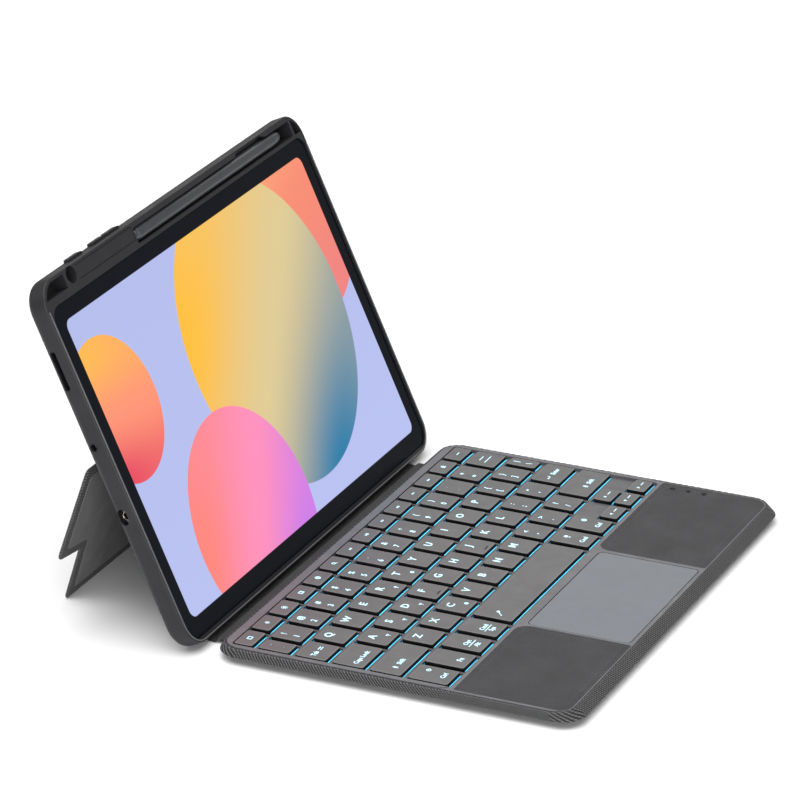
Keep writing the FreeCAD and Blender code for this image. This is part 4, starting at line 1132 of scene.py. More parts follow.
# ---------------------------------------------------------------- legends
class Icon(Enum):
    """Small signs, each a tuple of strokes on a square from -1 to 1."""

    PANEL = (("frame", 0, 0, 0.8, 0.6),)
    PANEL_TWO = (("frame", 0, 0, 0.8, 0.6), ("bar", 0.3, -0.6, 0.3, 0.6))
    SUN_LOW = (("disc", 0, 0, 0.32), ("rays", 0.5, 0.72))
    SUN_HIGH = (("disc", 0, 0, 0.4), ("rays", 0.6, 1.0))
    GLOBE = (("ring", 0, 0, 0.75), ("bar", -0.7, 0, 0.7, 0), ("bar", 0, -0.7, 0, 0.7))
    SEARCH = (("ring", -0.15, 0.15, 0.5), ("bar", 0.25, -0.25, 0.75, -0.75))
    BACKWARD = (("wedge", -0.35, 0, 0.5, 180), ("wedge", 0.45, 0, 0.5, 180))
    PLAY = (("wedge", -0.25, 0, 0.55, 0), ("bar", 0.5, -0.5, 0.5, 0.5), ("bar", 0.85, -0.5, 0.85, 0.5))
    FORWARD = (("wedge", -0.35, 0, 0.5, 0), ("wedge", 0.45, 0, 0.5, 0))
    MUTE = (("wedge", -0.3, 0, 0.55, 180), ("bar", 0.3, -0.35, 0.85, 0.35), ("bar", 0.3, 0.35, 0.85, -0.35))
    QUIETER = (("wedge", -0.3, 0, 0.55, 180), ("bar", 0.35, 0, 0.9, 0))
    LOUDER = (("wedge", -0.3, 0, 0.55, 180), ("bar", 0.3, 0, 0.9, 0), ("bar", 0.6, -0.3, 0.6, 0.3))
    LOCK = (("frame", 0, -0.25, 0.5, 0.4), ("ring", 0, 0.3, 0.35))
    ERASE = (("wedge", -0.7, 0, 0.35, 180), ("bar", -0.5, 0, 0.9, 0))
    ENTER = (("wedge", -0.6, -0.2, 0.35, 180), ("bar", -0.4, -0.2, 0.7, -0.2), ("bar", 0.7, -0.2, 0.7, 0.6))
    TAB = (("bar", -0.8, 0.35, 0.6, 0.35), ("wedge", 0.55, 0.35, 0.3, 0), ("bar", -0.6, -0.35, 0.8, -0.35),
           ("wedge", -0.55, -0.35, 0.3, 180))
    SHIFT = (("wedge", 0, 0.25, 0.65, 90), ("frame", 0, -0.45, 0.25, 0.3))
    LEFT = (("wedge", 0, 0, 0.55, 180),)
    RIGHT = (("wedge", 0, 0, 0.55, 0),)
    UP = (("wedge", 0, 0, 0.55, 90),)
    DOWN = (("wedge", 0, 0, 0.55, 270),)
    LAMP = (("disc", 0, 0.2, 0.5), ("bar", -0.2, -0.55, 0.2, -0.55), ("bar", -0.15, -0.8, 0.15, -0.8))
    FADER = (("ring", 0, 0, 0.6), ("disc", 0, 0, 0.25))
    WAVES = (("disc", 0, -0.6, 0.18), ("bar", -0.45, 0.0, 0.45, 0.0), ("bar", -0.75, 0.5, 0.75, 0.5))
    STROKE = (("bar", -0.7, -0.5, 0.5, 0.6), ("disc", 0.55, 0.6, 0.3))
    LINE = (("bar", -1, 0, 1, 0),)
    CASE_LOCK = (("frame", 0, 0, 0.55, 0.75), ("bar", -0.25, 0.35, 0.25, 0.35))
    RADIO = (("ring", 0, 0, 0.65), ("disc", 0, 0, 0.22), ("bar", 0.65, 0, 1.0, 0))
    CHARGE = (("frame", 0, 0, 0.8, 0.6), ("bar", -0.4, 0, 0.4, 0))


@dataclass
class IconPainter:
    """Draws icons and letters as thin raised shapes on one surface."""

    surface: Surface
    low: float
    high: float
    width: float = 0.2
    ray_count: int = 8

    def draw(self, icon: Icon, x: float, y: float, size: float, stretch: float = 1.0) -> None:
        """Draws an icon.

        Args:
            icon: which one.
            x, y: its middle.
            size: half its height.
            stretch: how much wider than high it is.
        """
        scale = np.array([size * stretch, size])
        centre = np.array([x, y])
        for kind, *numbers in icon.value:
            getattr(self, "_" + kind)(centre, scale, *numbers)

    def _shape(self, outline: Array) -> None:
        """Adds one filled shape."""
        self.surface.prism(outline, self.low, self.high)

    def _bar(self, centre: Array, scale: Array, x0: float, y0: float, x1: float, y1: float) -> None:
        """A straight stroke."""
        a, b = centre + scale * (x0, y0), centre + scale * (x1, y1)
        run = (b - a) / np.linalg.norm(b - a)
        side = np.array([-run[1], run[0]]) * self.width
        self._shape(np.stack([a - side, b - side, b + side, a + side]))

    def _disc(self, centre: Array, scale: Array, x: float, y: float, r: float) -> None:
        """A filled round."""
        ring = round_outline(3)
        self._shape(centre + scale * (x, y) + ring * r * scale[1])

    def _ring(self, centre: Array, scale: Array, x: float, y: float, r: float) -> None:
        """A round line."""
        ring = round_outline(4)
        middle, radius = centre + scale * (x, y), r * scale[1]
        self.surface.band(middle + ring * (radius - self.width), middle + ring * (radius + self.width),
                          self.low, self.high)

    def _frame(self, centre: Array, scale: Array, x: float, y: float, w: float, h: float) -> None:
        """A rectangle's line."""
        box = rounded_outline(-1.0, 1.0, -1.0, 1.0, 0.1, 2)
        middle, half = centre + scale * (x, y), scale * (w, h)
        self.surface.band(middle + box * (half - self.width), middle + box * (half + self.width),
                          self.low, self.high)

    def _wedge(self, centre: Array, scale: Array, x: float, y: float, r: float, turn: float) -> None:
        """A filled triangle that points along turn, in degrees."""
        angle = radians(turn) + np.array([0.0, 2.0, 4.0]) * np.pi / 3
        self._shape(centre + scale * (x, y) + r * scale[1] * np.stack([np.cos(angle), np.sin(angle)], -1))

    def _rays(self, centre: Array, scale: Array, inner: float, outer: float) -> None:
        """Short strokes all round."""
        for angle in np.arange(self.ray_count) * 2 * np.pi / self.ray_count:
            way = np.array([np.cos(angle), np.sin(angle)])
            self._bar(centre, scale, *(way * inner), *(way * outer))

    def write(self, text: str, x: float, y: float, height: float, widen: float = 1.0) -> None:
        """Writes plain letters.

        Args:
            text: the letters.
            x, y: their middle.
            height: height of a capital.
            widen: how much wider than usual.
        """
        points, faces = letters(text)
        scale = np.array([height * widen, height, self.high - self.low])
        placed = points * scale + np.array([x, y, (self.low + self.high) / 2.0])
        for same in faces:
            self.surface.add(placed, same)


LETTERS: dict[str, tuple[Array, list[Array]]] = {}
CAPITAL = 0.72        # height of a capital in the built-in type, as a share of its size


def letters(text: str) -> tuple[Array, list[Array]]:
    """A word as a closed shape, one capital high and one unit thick, with its middle at the origin.

    Args:
        text: the letters.

    Returns:
        Points (n, 3), and its faces as one array for each number of corners.
    """
    if text not in LETTERS:
        curve = bpy.data.curves.new("letters", "FONT")
        curve.body, curve.size, curve.extrude, curve.resolution_u = text, 1.0 / CAPITAL, 0.5, 2
        curve.offset = 0.028
        writing = bpy.data.objects.new("letters", curve)
        mesh = bpy.data.meshes.new_from_object(writing)
        points = np.zeros(len(mesh.vertices) * 3)
        mesh.vertices.foreach_get("co", points)
        points = points.reshape(-1, 3)
        middle = (points.min(axis=0) + points.max(axis=0)) / 2.0
        corners = np.zeros(len(mesh.loops), np.int32)
        starts = np.zeros(len(mesh.polygons), np.int32)
        totals = np.zeros(len(mesh.polygons), np.int32)
        mesh.loops.foreach_get("vertex_index", corners)
        mesh.polygons.foreach_get("loop_start", starts)
        mesh.polygons.foreach_get("loop_total", totals)
        faces = [corners[starts[totals == k][:, None] + np.arange(k)] for k in np.unique(totals)]
        LETTERS[text] = (points - middle, faces)
        bpy.data.objects.remove(writing)
        bpy.data.curves.remove(curve)
        bpy.data.meshes.remove(mesh)
    return LETTERS[text]


# ---------------------------------------------------------------- keys
@dataclass(frozen=True)
class Key:
    """One key: its node and its footprint in millimetres."""

    node: str
    left: float
    right: float
    front: float
    back: float


@dataclass
class KeyLayout:
    """Where every key is: rows of widths with equal gaps between the field's left and right edges."""

    flare: float = 0.25
    row_pitch: float = 16.85
    number_row: float = 11.3
    depth: float = 13.65
    function_depth: float = 8.3
    front_depth: float = 17.6
    arrow_depth: float = 8.1
    letter: float = 13.9
    function_gap: float = 2.65

    def keys(self) -> list[Key]:
        """Every key, row by row from the back."""
        field_box = Extent.of("function_keys")
        left, right = field_box.low[0] + self.flare, field_box.high[0] - self.flare
        back_edge = field_box.high[1] - self.flare
        plain = (right - left - 13 * self.function_gap) / 14.0
        rows = (([plain] * 14, ("function_keys",) * 14),
                ([9.1] + [self.letter] * 12 + [15.0], ("number_keys",) * 13 + ("backspace_key",)),
                ([15.0] + [self.letter] * 12 + [8.0],
                 ("tab_key",) + ("top_letter_keys",) * 12 + ("backslash_key",)),
                ([20.8] + [self.letter] * 11 + [19.6],
                 ("caps_lock_key",) + ("home_letter_keys",) * 11 + ("enter_key",)),
                ([29.6] + [self.letter] * 10 + [27.9],
                 ("left_shift_key",) + ("bottom_letter_keys",) * 10 + ("right_shift_key",)),
                ([13.8, 13.8, 13.2, 13.4, 81.2, 13.4, 13.4, 13.2, 12.9, 12.1],
                 ("control_key", "fn_key", "option_key", "command_key", "space_key",
                  "right_command_key", "right_control_key", "left_arrow_key", "down_arrow_key",
                  "right_arrow_key")))
        found: list[Key] = []
        for row, (widths, names) in enumerate(rows):
            back = back_edge - (self.number_row + self.row_pitch * (row - 1) if row else 0.0)
            depth = {0: self.function_depth, 5: self.front_depth}.get(row, self.depth)
            gap = (right - left - sum(widths)) / (len(widths) - 1)
            starts = left + np.concatenate([[0.0], np.cumsum(np.array(widths[:-1]) + gap)])
            for name, x, width in zip(names, starts, widths):
                front = back - depth
                if name == "down_arrow_key":
                    found.append(Key("up_arrow_key", x, x + width, back - self.arrow_depth, back))
                top = front + self.arrow_depth if "arrow" in name else back
                found.append(Key(name, x, x + width, front, top))
        return found


SHIFTED = (("~", "`"), ("!", "1"), ("@", "2"), ("#", "3"), ("$", "4"), ("%", "5"), ("^", "6"),
           ("&", "7"), ("*", "8"), ("(", "9"), (")", "0"), ("_", "-"), ("+", "="))
LEGENDS: dict[str, tuple] = {
    "function_keys": (Icon.PANEL, Icon.SUN_LOW, Icon.SUN_HIGH, Icon.PANEL_TWO, Icon.GLOBE, Icon.SEARCH,
                      Icon.BACKWARD, Icon.PLAY, Icon.FORWARD, Icon.MUTE, Icon.QUIETER, Icon.LOUDER,
                      Icon.LOCK, Icon.LINE),
    "number_keys": SHIFTED,
    "top_letter_keys": tuple("QWERTYUIOP") + (("{", "["), ("}", "]")),
    "backslash_key": (("|", "\\"),),
    "home_letter_keys": tuple("ASDFGHJKL") + ((":", ";"), ("\"", "'")),
    "bottom_letter_keys": tuple("ZXCVBNM") + (("<", ","), (">", "."), ("?", "/"))}
SECOND_SIGNS = {"R": Icon.LAMP, "T": Icon.FADER, "A": Icon.WAVES, "S": Icon.WAVES, "D": Icon.WAVES,
                "C": Icon.FADER}


@dataclass
class KeySet(SubAssembly):
    """Hollow key caps, their lit legends, and the painted lines of light in front of them."""

    rise: float = 2.2
    skin: float = 0.8
    corner: float = 1.1
    edge: float = 0.28
    flare: float = 0.25
    lit_depth: float = 0.45
    homing: tuple[str, str] = ("F", "J")
    letter_place: tuple[float, float] = (5.4, 4.6)
    letter_height: float = 3.5
    small_height: float = 2.7
    word_height: float = 2.2

    def build(self) -> None:
        """Makes one piece of caps and one of legends for each key node, then the painted lines of light."""
        keys = KeyLayout().keys()
        for node in dict.fromkeys(key.node for key in keys):
            members = [key for key in keys if key.node == node]
            extent = Extent.of(node)
            top = extent.low[2] + self.rise
            caps, signs = Surface(), Surface()
            painter = IconPainter(signs, top - 0.05, top + 0.04)
            for n, key in enumerate(members):
                self._cap(caps, key, extent.low[2], top)
                self._legend(painter, key, n)
            body = node + "_body"
            self.fit(caps.piece("caps_" + node, self.finishes.key), body, "key_plastic", (node,))
            self.fit(signs.piece("legends_" + node, self.finishes.legend), body, "key_plastic")
        self._light_lines(keys)
        self._homing_bars(keys)

    def _cap(self, surface: Surface, key: Key, low: float, top: float) -> None:
        """A cap as one closed skin: hollow, flared skirt, walls, rounded shoulder and flat top."""
        outline = rounded_outline(key.left, key.right, key.front, key.back, self.corner, 4, 3)
        hollow = rounded_outline(key.left + self.skin, key.right - self.skin, key.front + self.skin,
                                 key.back - self.skin, 0.5, 4, 3)
        flare = inset(outline, -self.flare)
        loops = np.stack([level(hollow, top - self.skin), level(hollow, low), level(flare, low),
                          level(outline, top - self.edge), level(inset(outline, self.edge * 0.3), top - 0.08),
                          level(inset(outline, self.edge), top), level(inset(outline, 0.75), top)])
        # Painted light: the glow mark makes the lower front wall of each cap emit, for the backlight falling
        # on it, and fades towards the cap's ends.
        facing = np.clip((key.front + self.lit_depth - outline[:, 1]) / self.lit_depth, 0.0, 1.0)
        across = (outline[:, 0] - key.left) / (key.right - key.left)
        ends = np.clip(np.minimum(across, 1.0 - across) * 6.0, 0.35, 1.0)
        worn_rows = np.array([0.0, 0.0, 0.0, 0.25, 1.0, 0.6, 0.0])[:, None]
        painted_glow_rows = np.array([0.0, 0.6, 1.0, 0.16, 0.0, 0.0, 0.0])[:, None]
        painted_glow = painted_glow_rows * facing * ends
        surface.hull(loops, marks=np.stack([np.broadcast_to(worn_rows, painted_glow.shape), painted_glow], -1))

    def _legend(self, painter: IconPainter, key: Key, n: int) -> None:
        """Puts a key's signs where they belong on its top."""
        middle = (key.left + key.right) / 2.0
        centre = (key.front + key.back) / 2.0
        mark = LEGENDS.get(key.node, (None,) * (n + 1))[n]
        x, y = key.left + self.letter_place[0], key.back - self.letter_place[1]
        if isinstance(mark, Icon):
            painter.draw(mark, middle, centre, 1.45)
        elif isinstance(mark, str):
            painter.write(mark, x, y, self.letter_height, 1.1)
            if mark in SECOND_SIGNS:
                painter.draw(SECOND_SIGNS[mark], key.right - 4.2, key.front + 3.6, 1.3)
        elif isinstance(mark, tuple):
            x = min(key.left + 4.6, middle)
            painter.write(mark[0], x, key.back - 3.7, self.small_height if mark[0] not in "_~^" else 0.8)
            painter.write(mark[1], x, key.back - 9.6, self.small_height if mark[1] not in "-`" else 0.8)
        else:
            self._function(painter, key, middle, centre)

    def _function(self, painter: IconPainter, key: Key, middle: float, centre: float) -> None:
        """The signs of the keys that aren't letters or numbers."""
        word, left, front = self.word_height, key.left, key.front
        if key.node == "backspace_key":
            painter.draw(Icon.ERASE, middle, centre + 2.2, 1.5, 1.7)
            painter.draw(Icon.LINE, middle, centre - 0.9, 1.0, 3.8)
        elif key.node == "tab_key":
            painter.write("Tab", left + 4.6, centre, word)
            painter.draw(Icon.TAB, left + 10.2, centre, 1.5, 1.3)
        elif key.node == "caps_lock_key":
            painter.write("Caps Lock", left + 9.4, front + 4.4, word)
        elif key.node == "enter_key":
            painter.draw(Icon.ENTER, middle - 5.4, centre, 1.5, 1.2)
            painter.write("Enter", middle + 2.4, centre, word)
        elif key.node in ("left_shift_key", "right_shift_key"):
            x = left + 6.6 if key.node == "left_shift_key" else middle - 3.2
            painter.draw(Icon.SHIFT, x, centre - 1.6, 1.5)
            painter.write("Shift", x + 6.0, centre - 1.6, word)
        elif key.node in ("control_key", "right_control_key"):
            sign = Icon.RADIO if key.node == "control_key" else Icon.GLOBE
            painter.draw(sign, middle + 3.0, centre + 3.6, 1.4)
            painter.write("Ctrl", middle + 0.6, front + 4.6, word)
        elif key.node == "fn_key":
            painter.write("Fn", middle + 0.4, front + 4.6, word * 1.15)
        elif key.node in ("option_key", "command_key"):
            upper, lower = (("Opt", "Alt") if key.node == "option_key" else ("Cmd", "Sys"))
            painter.write(upper, middle, front + 8.4, word)
            painter.draw(Icon.LINE, middle, front + 6.4, 1.0, 3.6)
            painter.write(lower, middle, front + 4.2, word)
        elif key.node == "space_key":
            painter.draw(Icon.STROKE, left + 5.4, centre - 1.4, 2.6)
        elif key.node == "right_command_key":
            painter.draw(Icon.LAMP, middle, centre + 3.6, 2.0)
            painter.write("Cmd", middle, front + 4.6, word)
        else:
            arrow = {"left_arrow_key": Icon.LEFT, "up_arrow_key": Icon.UP, "down_arrow_key": Icon.DOWN,
                     "right_arrow_key": Icon.RIGHT}[key.node]
            painter.draw(arrow, middle - 2.4, centre, 1.7)
            painter.draw(Icon.LINE, middle + 2.2, centre, 1.0, 1.6)

    def _light_lines(self, keys: list[Key]) -> None:
        """Painted light: a glowing tube in the gap in front of each key, its ends tapered away, for the
        backlight seen there.
        """
        web = Extent.of("key_frame").high[2]
        lines = Surface()
        for key in keys:
            share = np.linspace(0.0, 1.0, 9)
            x = key.left + 0.3 + share * (key.right - key.left - 0.6)
            thick = 0.21 * np.minimum(1.0, 0.35 + 5.0 * np.minimum(share, 1.0 - share))
            path = np.column_stack([x, np.full(9, key.front - 0.55), np.full(9, web - 0.2)])
            lines.tube(path, thick, sides=6)
        self.fit(lines.piece("light_lines", self.finishes.line), "keyboard_base", "light_guide")

    def _homing_bars(self, keys: list[Key]) -> None:
        """The raised bars that a finger finds on two of the keys."""
        home = [key for key in keys if key.node == "home_letter_keys"]
        names = LEGENDS["home_letter_keys"]
        top = Extent.of("home_letter_keys").low[2] + self.rise
        bars = Surface()
        for key, name in zip(home, names):
            if name in self.homing:
                middle = (key.left + key.right) / 2.0
                outline = rounded_outline(middle - 1.8, middle + 1.8,
                                          key.front + 1.6, key.front + 2.05, 0.2, 4)
                bars.slab(outline, top - 0.1, top + 0.15, 0.08)
        self.fit(bars.piece("homing_bars", self.finishes.print_ink), "home_letter_keys_body", "key_plastic")


# ---------------------------------------------------------------- spine
@dataclass
class Spine(SubAssembly):
    """The cloth between the base and the shell: two strips that meet on the spine's board."""

    half_width: float = 104.0
    thickness: float = 0.5
    height: float = 0.36
    columns: int = 60

    def build(self, holder: Plane) -> None:
        """Makes both strips."""
        fold = np.array(joint("spine_hinge")["pos_m"]) / MM
        turn = np.array(joint("holder_hinge")["pos_m"]) / MM
        middle = (fold[1] + turn[1]) / 2.0
        under = Extent.of("base_cover").low[2]
        front = self._bezier(((fold[1] - 9.0, under - 0.34), (fold[1] - 4.0, under - 0.34),
                              (fold[1] - 1.5, self.height), (middle, self.height)), 40)
        board = Extent.of("spine_stiffener")
        ends = np.array([board.low[1] - 1.0, board.high[1]])
        rise = ease(np.clip(front[:, :1] - ends, 0.0, 1.0))
        front[:, 1] += (rise[:, 0] - rise[:, 1]) * (board.high[2] + 0.05 - self.height + self.thickness / 2)
        self._strip("spine_cloth_front", front, ("spine_cover",), "keyboard_base", "spine",
                    (0.0, (fold[1] - 1.6) * MM, fold[2] * MM), (0.0, (fold[1] + 1.6) * MM, fold[2] * MM))
        back = self._under_shell(holder, middle)
        self._strip("spine_cloth_back", back, (), "spine", "holder",
                    (0.0, (turn[1] - 1.6) * MM, self.height * MM), (0.0, (turn[1] + 1.2) * MM, 0.9 * MM))

    @staticmethod
    def _bezier(poles: tuple, count: int) -> Array:
        """A cubic curve (1-t)^3 A + 3t(1-t)^2 B + 3t^2(1-t) C + t^3 D."""
        t = np.linspace(0.0, 1.0, count)[:, None]
        a, b, c, d = np.array(poles, float)
        return (1 - t) ** 3 * a + 3 * t * (1 - t) ** 2 * b + 3 * t ** 2 * (1 - t) * c + t ** 3 * d

    def _under_shell(self, holder: Plane, middle: float) -> Array:
        """From the spine's middle, flat, then round the shell's lower back corner and up its back."""
        shell_low, shell_back, corner = -10.9, 8.7, 3.5
        centre = holder.place(np.array([0.0, shell_low + corner, -shell_back + corner]))[1:]
        reach = corner + self.thickness / 2.0 + 0.05
        angle = np.linspace(-np.pi / 2, holder.angle - np.pi / 2, 14)[:, None]
        bend = centre + reach * np.concatenate([np.cos(angle), np.sin(angle)], 1)
        rise = np.array([cos(holder.angle), sin(holder.angle)])
        up = bend[-1] + rise * np.linspace(0.0, 1.7, 4)[1:, None]
        lead = self._bezier(((middle, self.height), (middle + 2.5, self.height),
                             (bend[0][0] - 2.0, bend[0][1]), tuple(bend[0])), 12)
        return np.concatenate([lead[:-1], bend, up])

    def _strip(self, name: str, path: Array, replaced: tuple[str, ...], first: str, second: str,
               start: tuple, end: tuple) -> None:
        """A flat strip carried along a path in the Y-Z plane, with softly rounded sides.

        Args:
            name: the piece's name.
            path: (n, 2) of y and z.
            replaced: nodes that it stands for.
            first, second: not used.
            start, end: not used.
        """
        run = unit(np.gradient(path, axis=0))
        normal = np.stack([-run[:, 1], run[:, 0]], -1)
        x = np.linspace(-self.half_width, self.half_width, self.columns)
        fullness = np.clip(1.0 - (np.abs(x) / (self.half_width + 0.1)) ** 80, 0.05, 1.0)
        half = self.thickness / 2.0 * np.sqrt(fullness)
        section_x = np.concatenate([x, x[::-1]])
        lift = np.concatenate([-half, half[::-1]])
        points = np.empty((len(path), len(section_x), 3))
        points[..., 0] = section_x
        points[..., 1:] = path[:, None] + lift[None, :, None] * normal[:, None]
        steps = np.concatenate([[0.0], np.cumsum(np.linalg.norm(np.diff(path, axis=0), axis=1))])
        u = np.concatenate([section_x, section_x[:1]])
        uv = np.stack(np.meshgrid(u, steps), -1)
        cloth = Surface()
        cloth.hull(points[:, ::-1], uv[:, ::-1])
        made = cloth.piece(name, self.finishes.fine_twill, 60.0)
        if replaced:
            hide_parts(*replaced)
        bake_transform(made)


# ---------------------------------------------------------------- shell, tablet and pen
@dataclass
class ShellTrim(SubAssembly):
    """What the moulded shell shows besides its own form: a lip bead lighter than the shell as a painted
    highlight, grille holes painted dark as shade, socket ring.
    """

    half_width: float = 123.2
    low: float = -10.9
    lip: float = 0.9
    corner: float = 12.0
    bead_inset: float = 1.05
    bead_radius: float = 0.32
    bead_top: float = 143.0
    speaker: tuple[float, float, float] = (111.0, 125.5, 5.25)
    tablet_side: float = 121.0
    jack: tuple[float, float] = (52.0, 5.2)
    sound_hole: tuple[float, float, float] = (83.7, 4.8, 1.75)

    def build(self, holder: Plane) -> None:
        """Makes the trim."""
        self._bead(holder)
        self._grilles(holder)
        self._jack(holder)
        self._microphone(holder)

    def _bead(self, holder: Plane) -> None:
        """A fine bead along the lip, lighter than the shell as a painted highlight: down the left side, along
        the foot and up the right side.
        """
        reach = self.half_width - self.bead_inset
        radius = self.corner - self.bead_inset
        ring = rounded_outline(-reach, reach, self.low + self.bead_inset, 400.0, radius, 14)
        left, right = ring[:15], ring[15:30]
        ends = np.array([[-reach, self.bead_top]]), np.array([[reach, self.bead_top - 3.0]])
        path = np.concatenate([ends[0], left, right, ends[1]])
        lip_highlight = Surface(holder)
        lip_highlight.tube(level(path, self.lip - 0.02), self.bead_radius, sides=8)
        self.fit(lip_highlight.piece("shell_lip_bead", self.finishes.lip_highlight), "holder", "shell_tpu")

    def _grilles(self, holder: Plane) -> None:
        """Two columns of small round holes behind the sound slot on each side, each a near-black rod whose
        colour is painted shade inside the hole.
        """
        low, high, depth = self.speaker
        holes = Surface(holder)
        for side in (-1, 1):
            x = side * self.tablet_side
            for row in np.linspace(low, high, 12):
                for column in (-0.65, 0.65):
                    ends = [[x + side * out, row, -depth + column] for out in (-0.2, 0.06)]
                    holes.tube(np.array(ends), 0.42, sides=8)
        self.fit(holes.piece("speaker_holes", self.finishes.hole), "tablet", "tablet_metal")

    @staticmethod
    def _ring(x: float, up: float, out: float, radius: float) -> Array:
        """A circle of 24 points that faces along X."""
        angle = np.linspace(0.0, 2 * np.pi, 24, endpoint=False)
        return np.column_stack([np.full(24, x), up + radius * np.cos(angle), out + radius * np.sin(angle)])

    def _jack(self, holder: Plane) -> None:
        """The sound socket's bright ring and the small contact inside it."""
        up, depth = self.jack
        rim = Surface(holder)
        rim.tube(self._ring(-self.tablet_side - 0.05, up, -depth + 0.9, 1.85), 0.16, sides=8, closed=True)
        spot = np.array([[-self.tablet_side + 0.5, up - 0.9, -depth + 1.9],
                         [-self.tablet_side + 1.6, up - 0.9, -depth + 1.9]])
        rim.tube(spot, 0.28, sides=8)
        self.fit(rim.piece("sound_socket_ring", self.finishes.contact), "tablet", "tablet_metal")

    def _microphone(self, holder: Plane) -> None:
        """A fine raised ring round the small sound hole in the shell's side."""
        up, depth, radius = self.sound_hole
        rim = Surface(holder)
        rim.tube(self._ring(-self.half_width - 0.02, up, -depth, radius), 0.22, sides=8, closed=True)
        self.fit(rim.piece("sound_hole_ring", self.finishes.shell), "holder", "shell_tpu")


@dataclass
class Tablet(SubAssembly):
    """The cover glass with its lit picture, and the small front camera."""

    half_width: float = 121.0
    corner: float = 6.5
    thickness: float = 0.7
    camera: tuple[float, float] = (-117.0, 69.0)

    def build(self, holder: Plane) -> None:
        """Makes the glass as a rounded slab, and a lens ring in its border."""
        glass = Surface(holder)
        outline = rounded_outline(-self.half_width, self.half_width, GLASS_LOW, GLASS_HIGH, self.corner, 10)
        glass.stack(slab_loops(outline, -self.thickness, 0.0, 0.25), 0.25, planar=True)
        self.fit(glass.piece("cover_glass", self.finishes.screen), "tablet", "screen_glass",
                 ("screen_glass",))
        lens = Surface(holder)
        ring = round_outline(6)
        lens.slab(ring * 1.4 + np.array(self.camera), -0.1, 0.02, 0.03)
        self.fit(lens.piece("front_camera", self.finishes.hole), "tablet", "camera_glass")


@dataclass
class Pen(SubAssembly):
    """The pen: a turned shaft with a domed button, and a nose that rounds off."""

    middle: float = 148.6
    depth: float = 3.1
    radius: float = 3.25
    left: float = -37.6
    right: float = 108.2
    taper: float = 97.0
    sides: int = 40
    squareness: float = 2.6

    def build(self, holder: Plane) -> None:
        """Makes the three turned pieces."""
        reach = self.right - self.taper
        tip_share = np.sin(np.linspace(0.0, np.pi / 2, 16))
        nose_x = self.taper + reach * tip_share
        nose_r = self.radius * np.sqrt(np.clip(1.0 - tip_share ** 2.4, 0.0, 1.0)) + 0.02
        dome = np.linspace(0.0, np.pi / 2, 8)
        button_x = self.left + 3.0 - 2.9 * np.cos(dome)
        button_r = (self.radius - 0.35) * np.sin(dome) ** 0.6 + 0.02
        shaft_x = np.array([self.left + 2.9, self.left + 3.0, self.left + 3.4, 20.0, 60.0, self.taper])
        shaft_r = np.array([self.radius - 0.35, self.radius - 0.15, self.radius, self.radius, self.radius,
                            self.radius])
        angle = np.linspace(0.0, 2 * np.pi, self.sides, endpoint=False)
        ring = np.stack([np.cos(angle), np.sin(angle)], -1)
        ring /= (np.abs(ring) ** self.squareness).sum(axis=1, keepdims=True) ** (1 / self.squareness)
        for name, x, r, finish, node in (
                ("pen_shaft", shaft_x, shaft_r, self.finishes.pen, ("pen_barrel",)),
                ("pen_tip", nose_x, nose_r, self.finishes.pen, ("pen_nose",)),
                ("pen_button", button_x, button_r, self.finishes.pearl, ())):
            loops = np.empty((len(x), self.sides, 3))
            loops[..., 0] = x[:, None]
            loops[..., 1:] = r[:, None, None] * ring + np.array([self.middle, -self.depth])
            turned = Surface(holder)
            turned.hull(loops)
            self.fit(turned.piece(name, finish, 50.0), "pen", "pen_plastic", node)


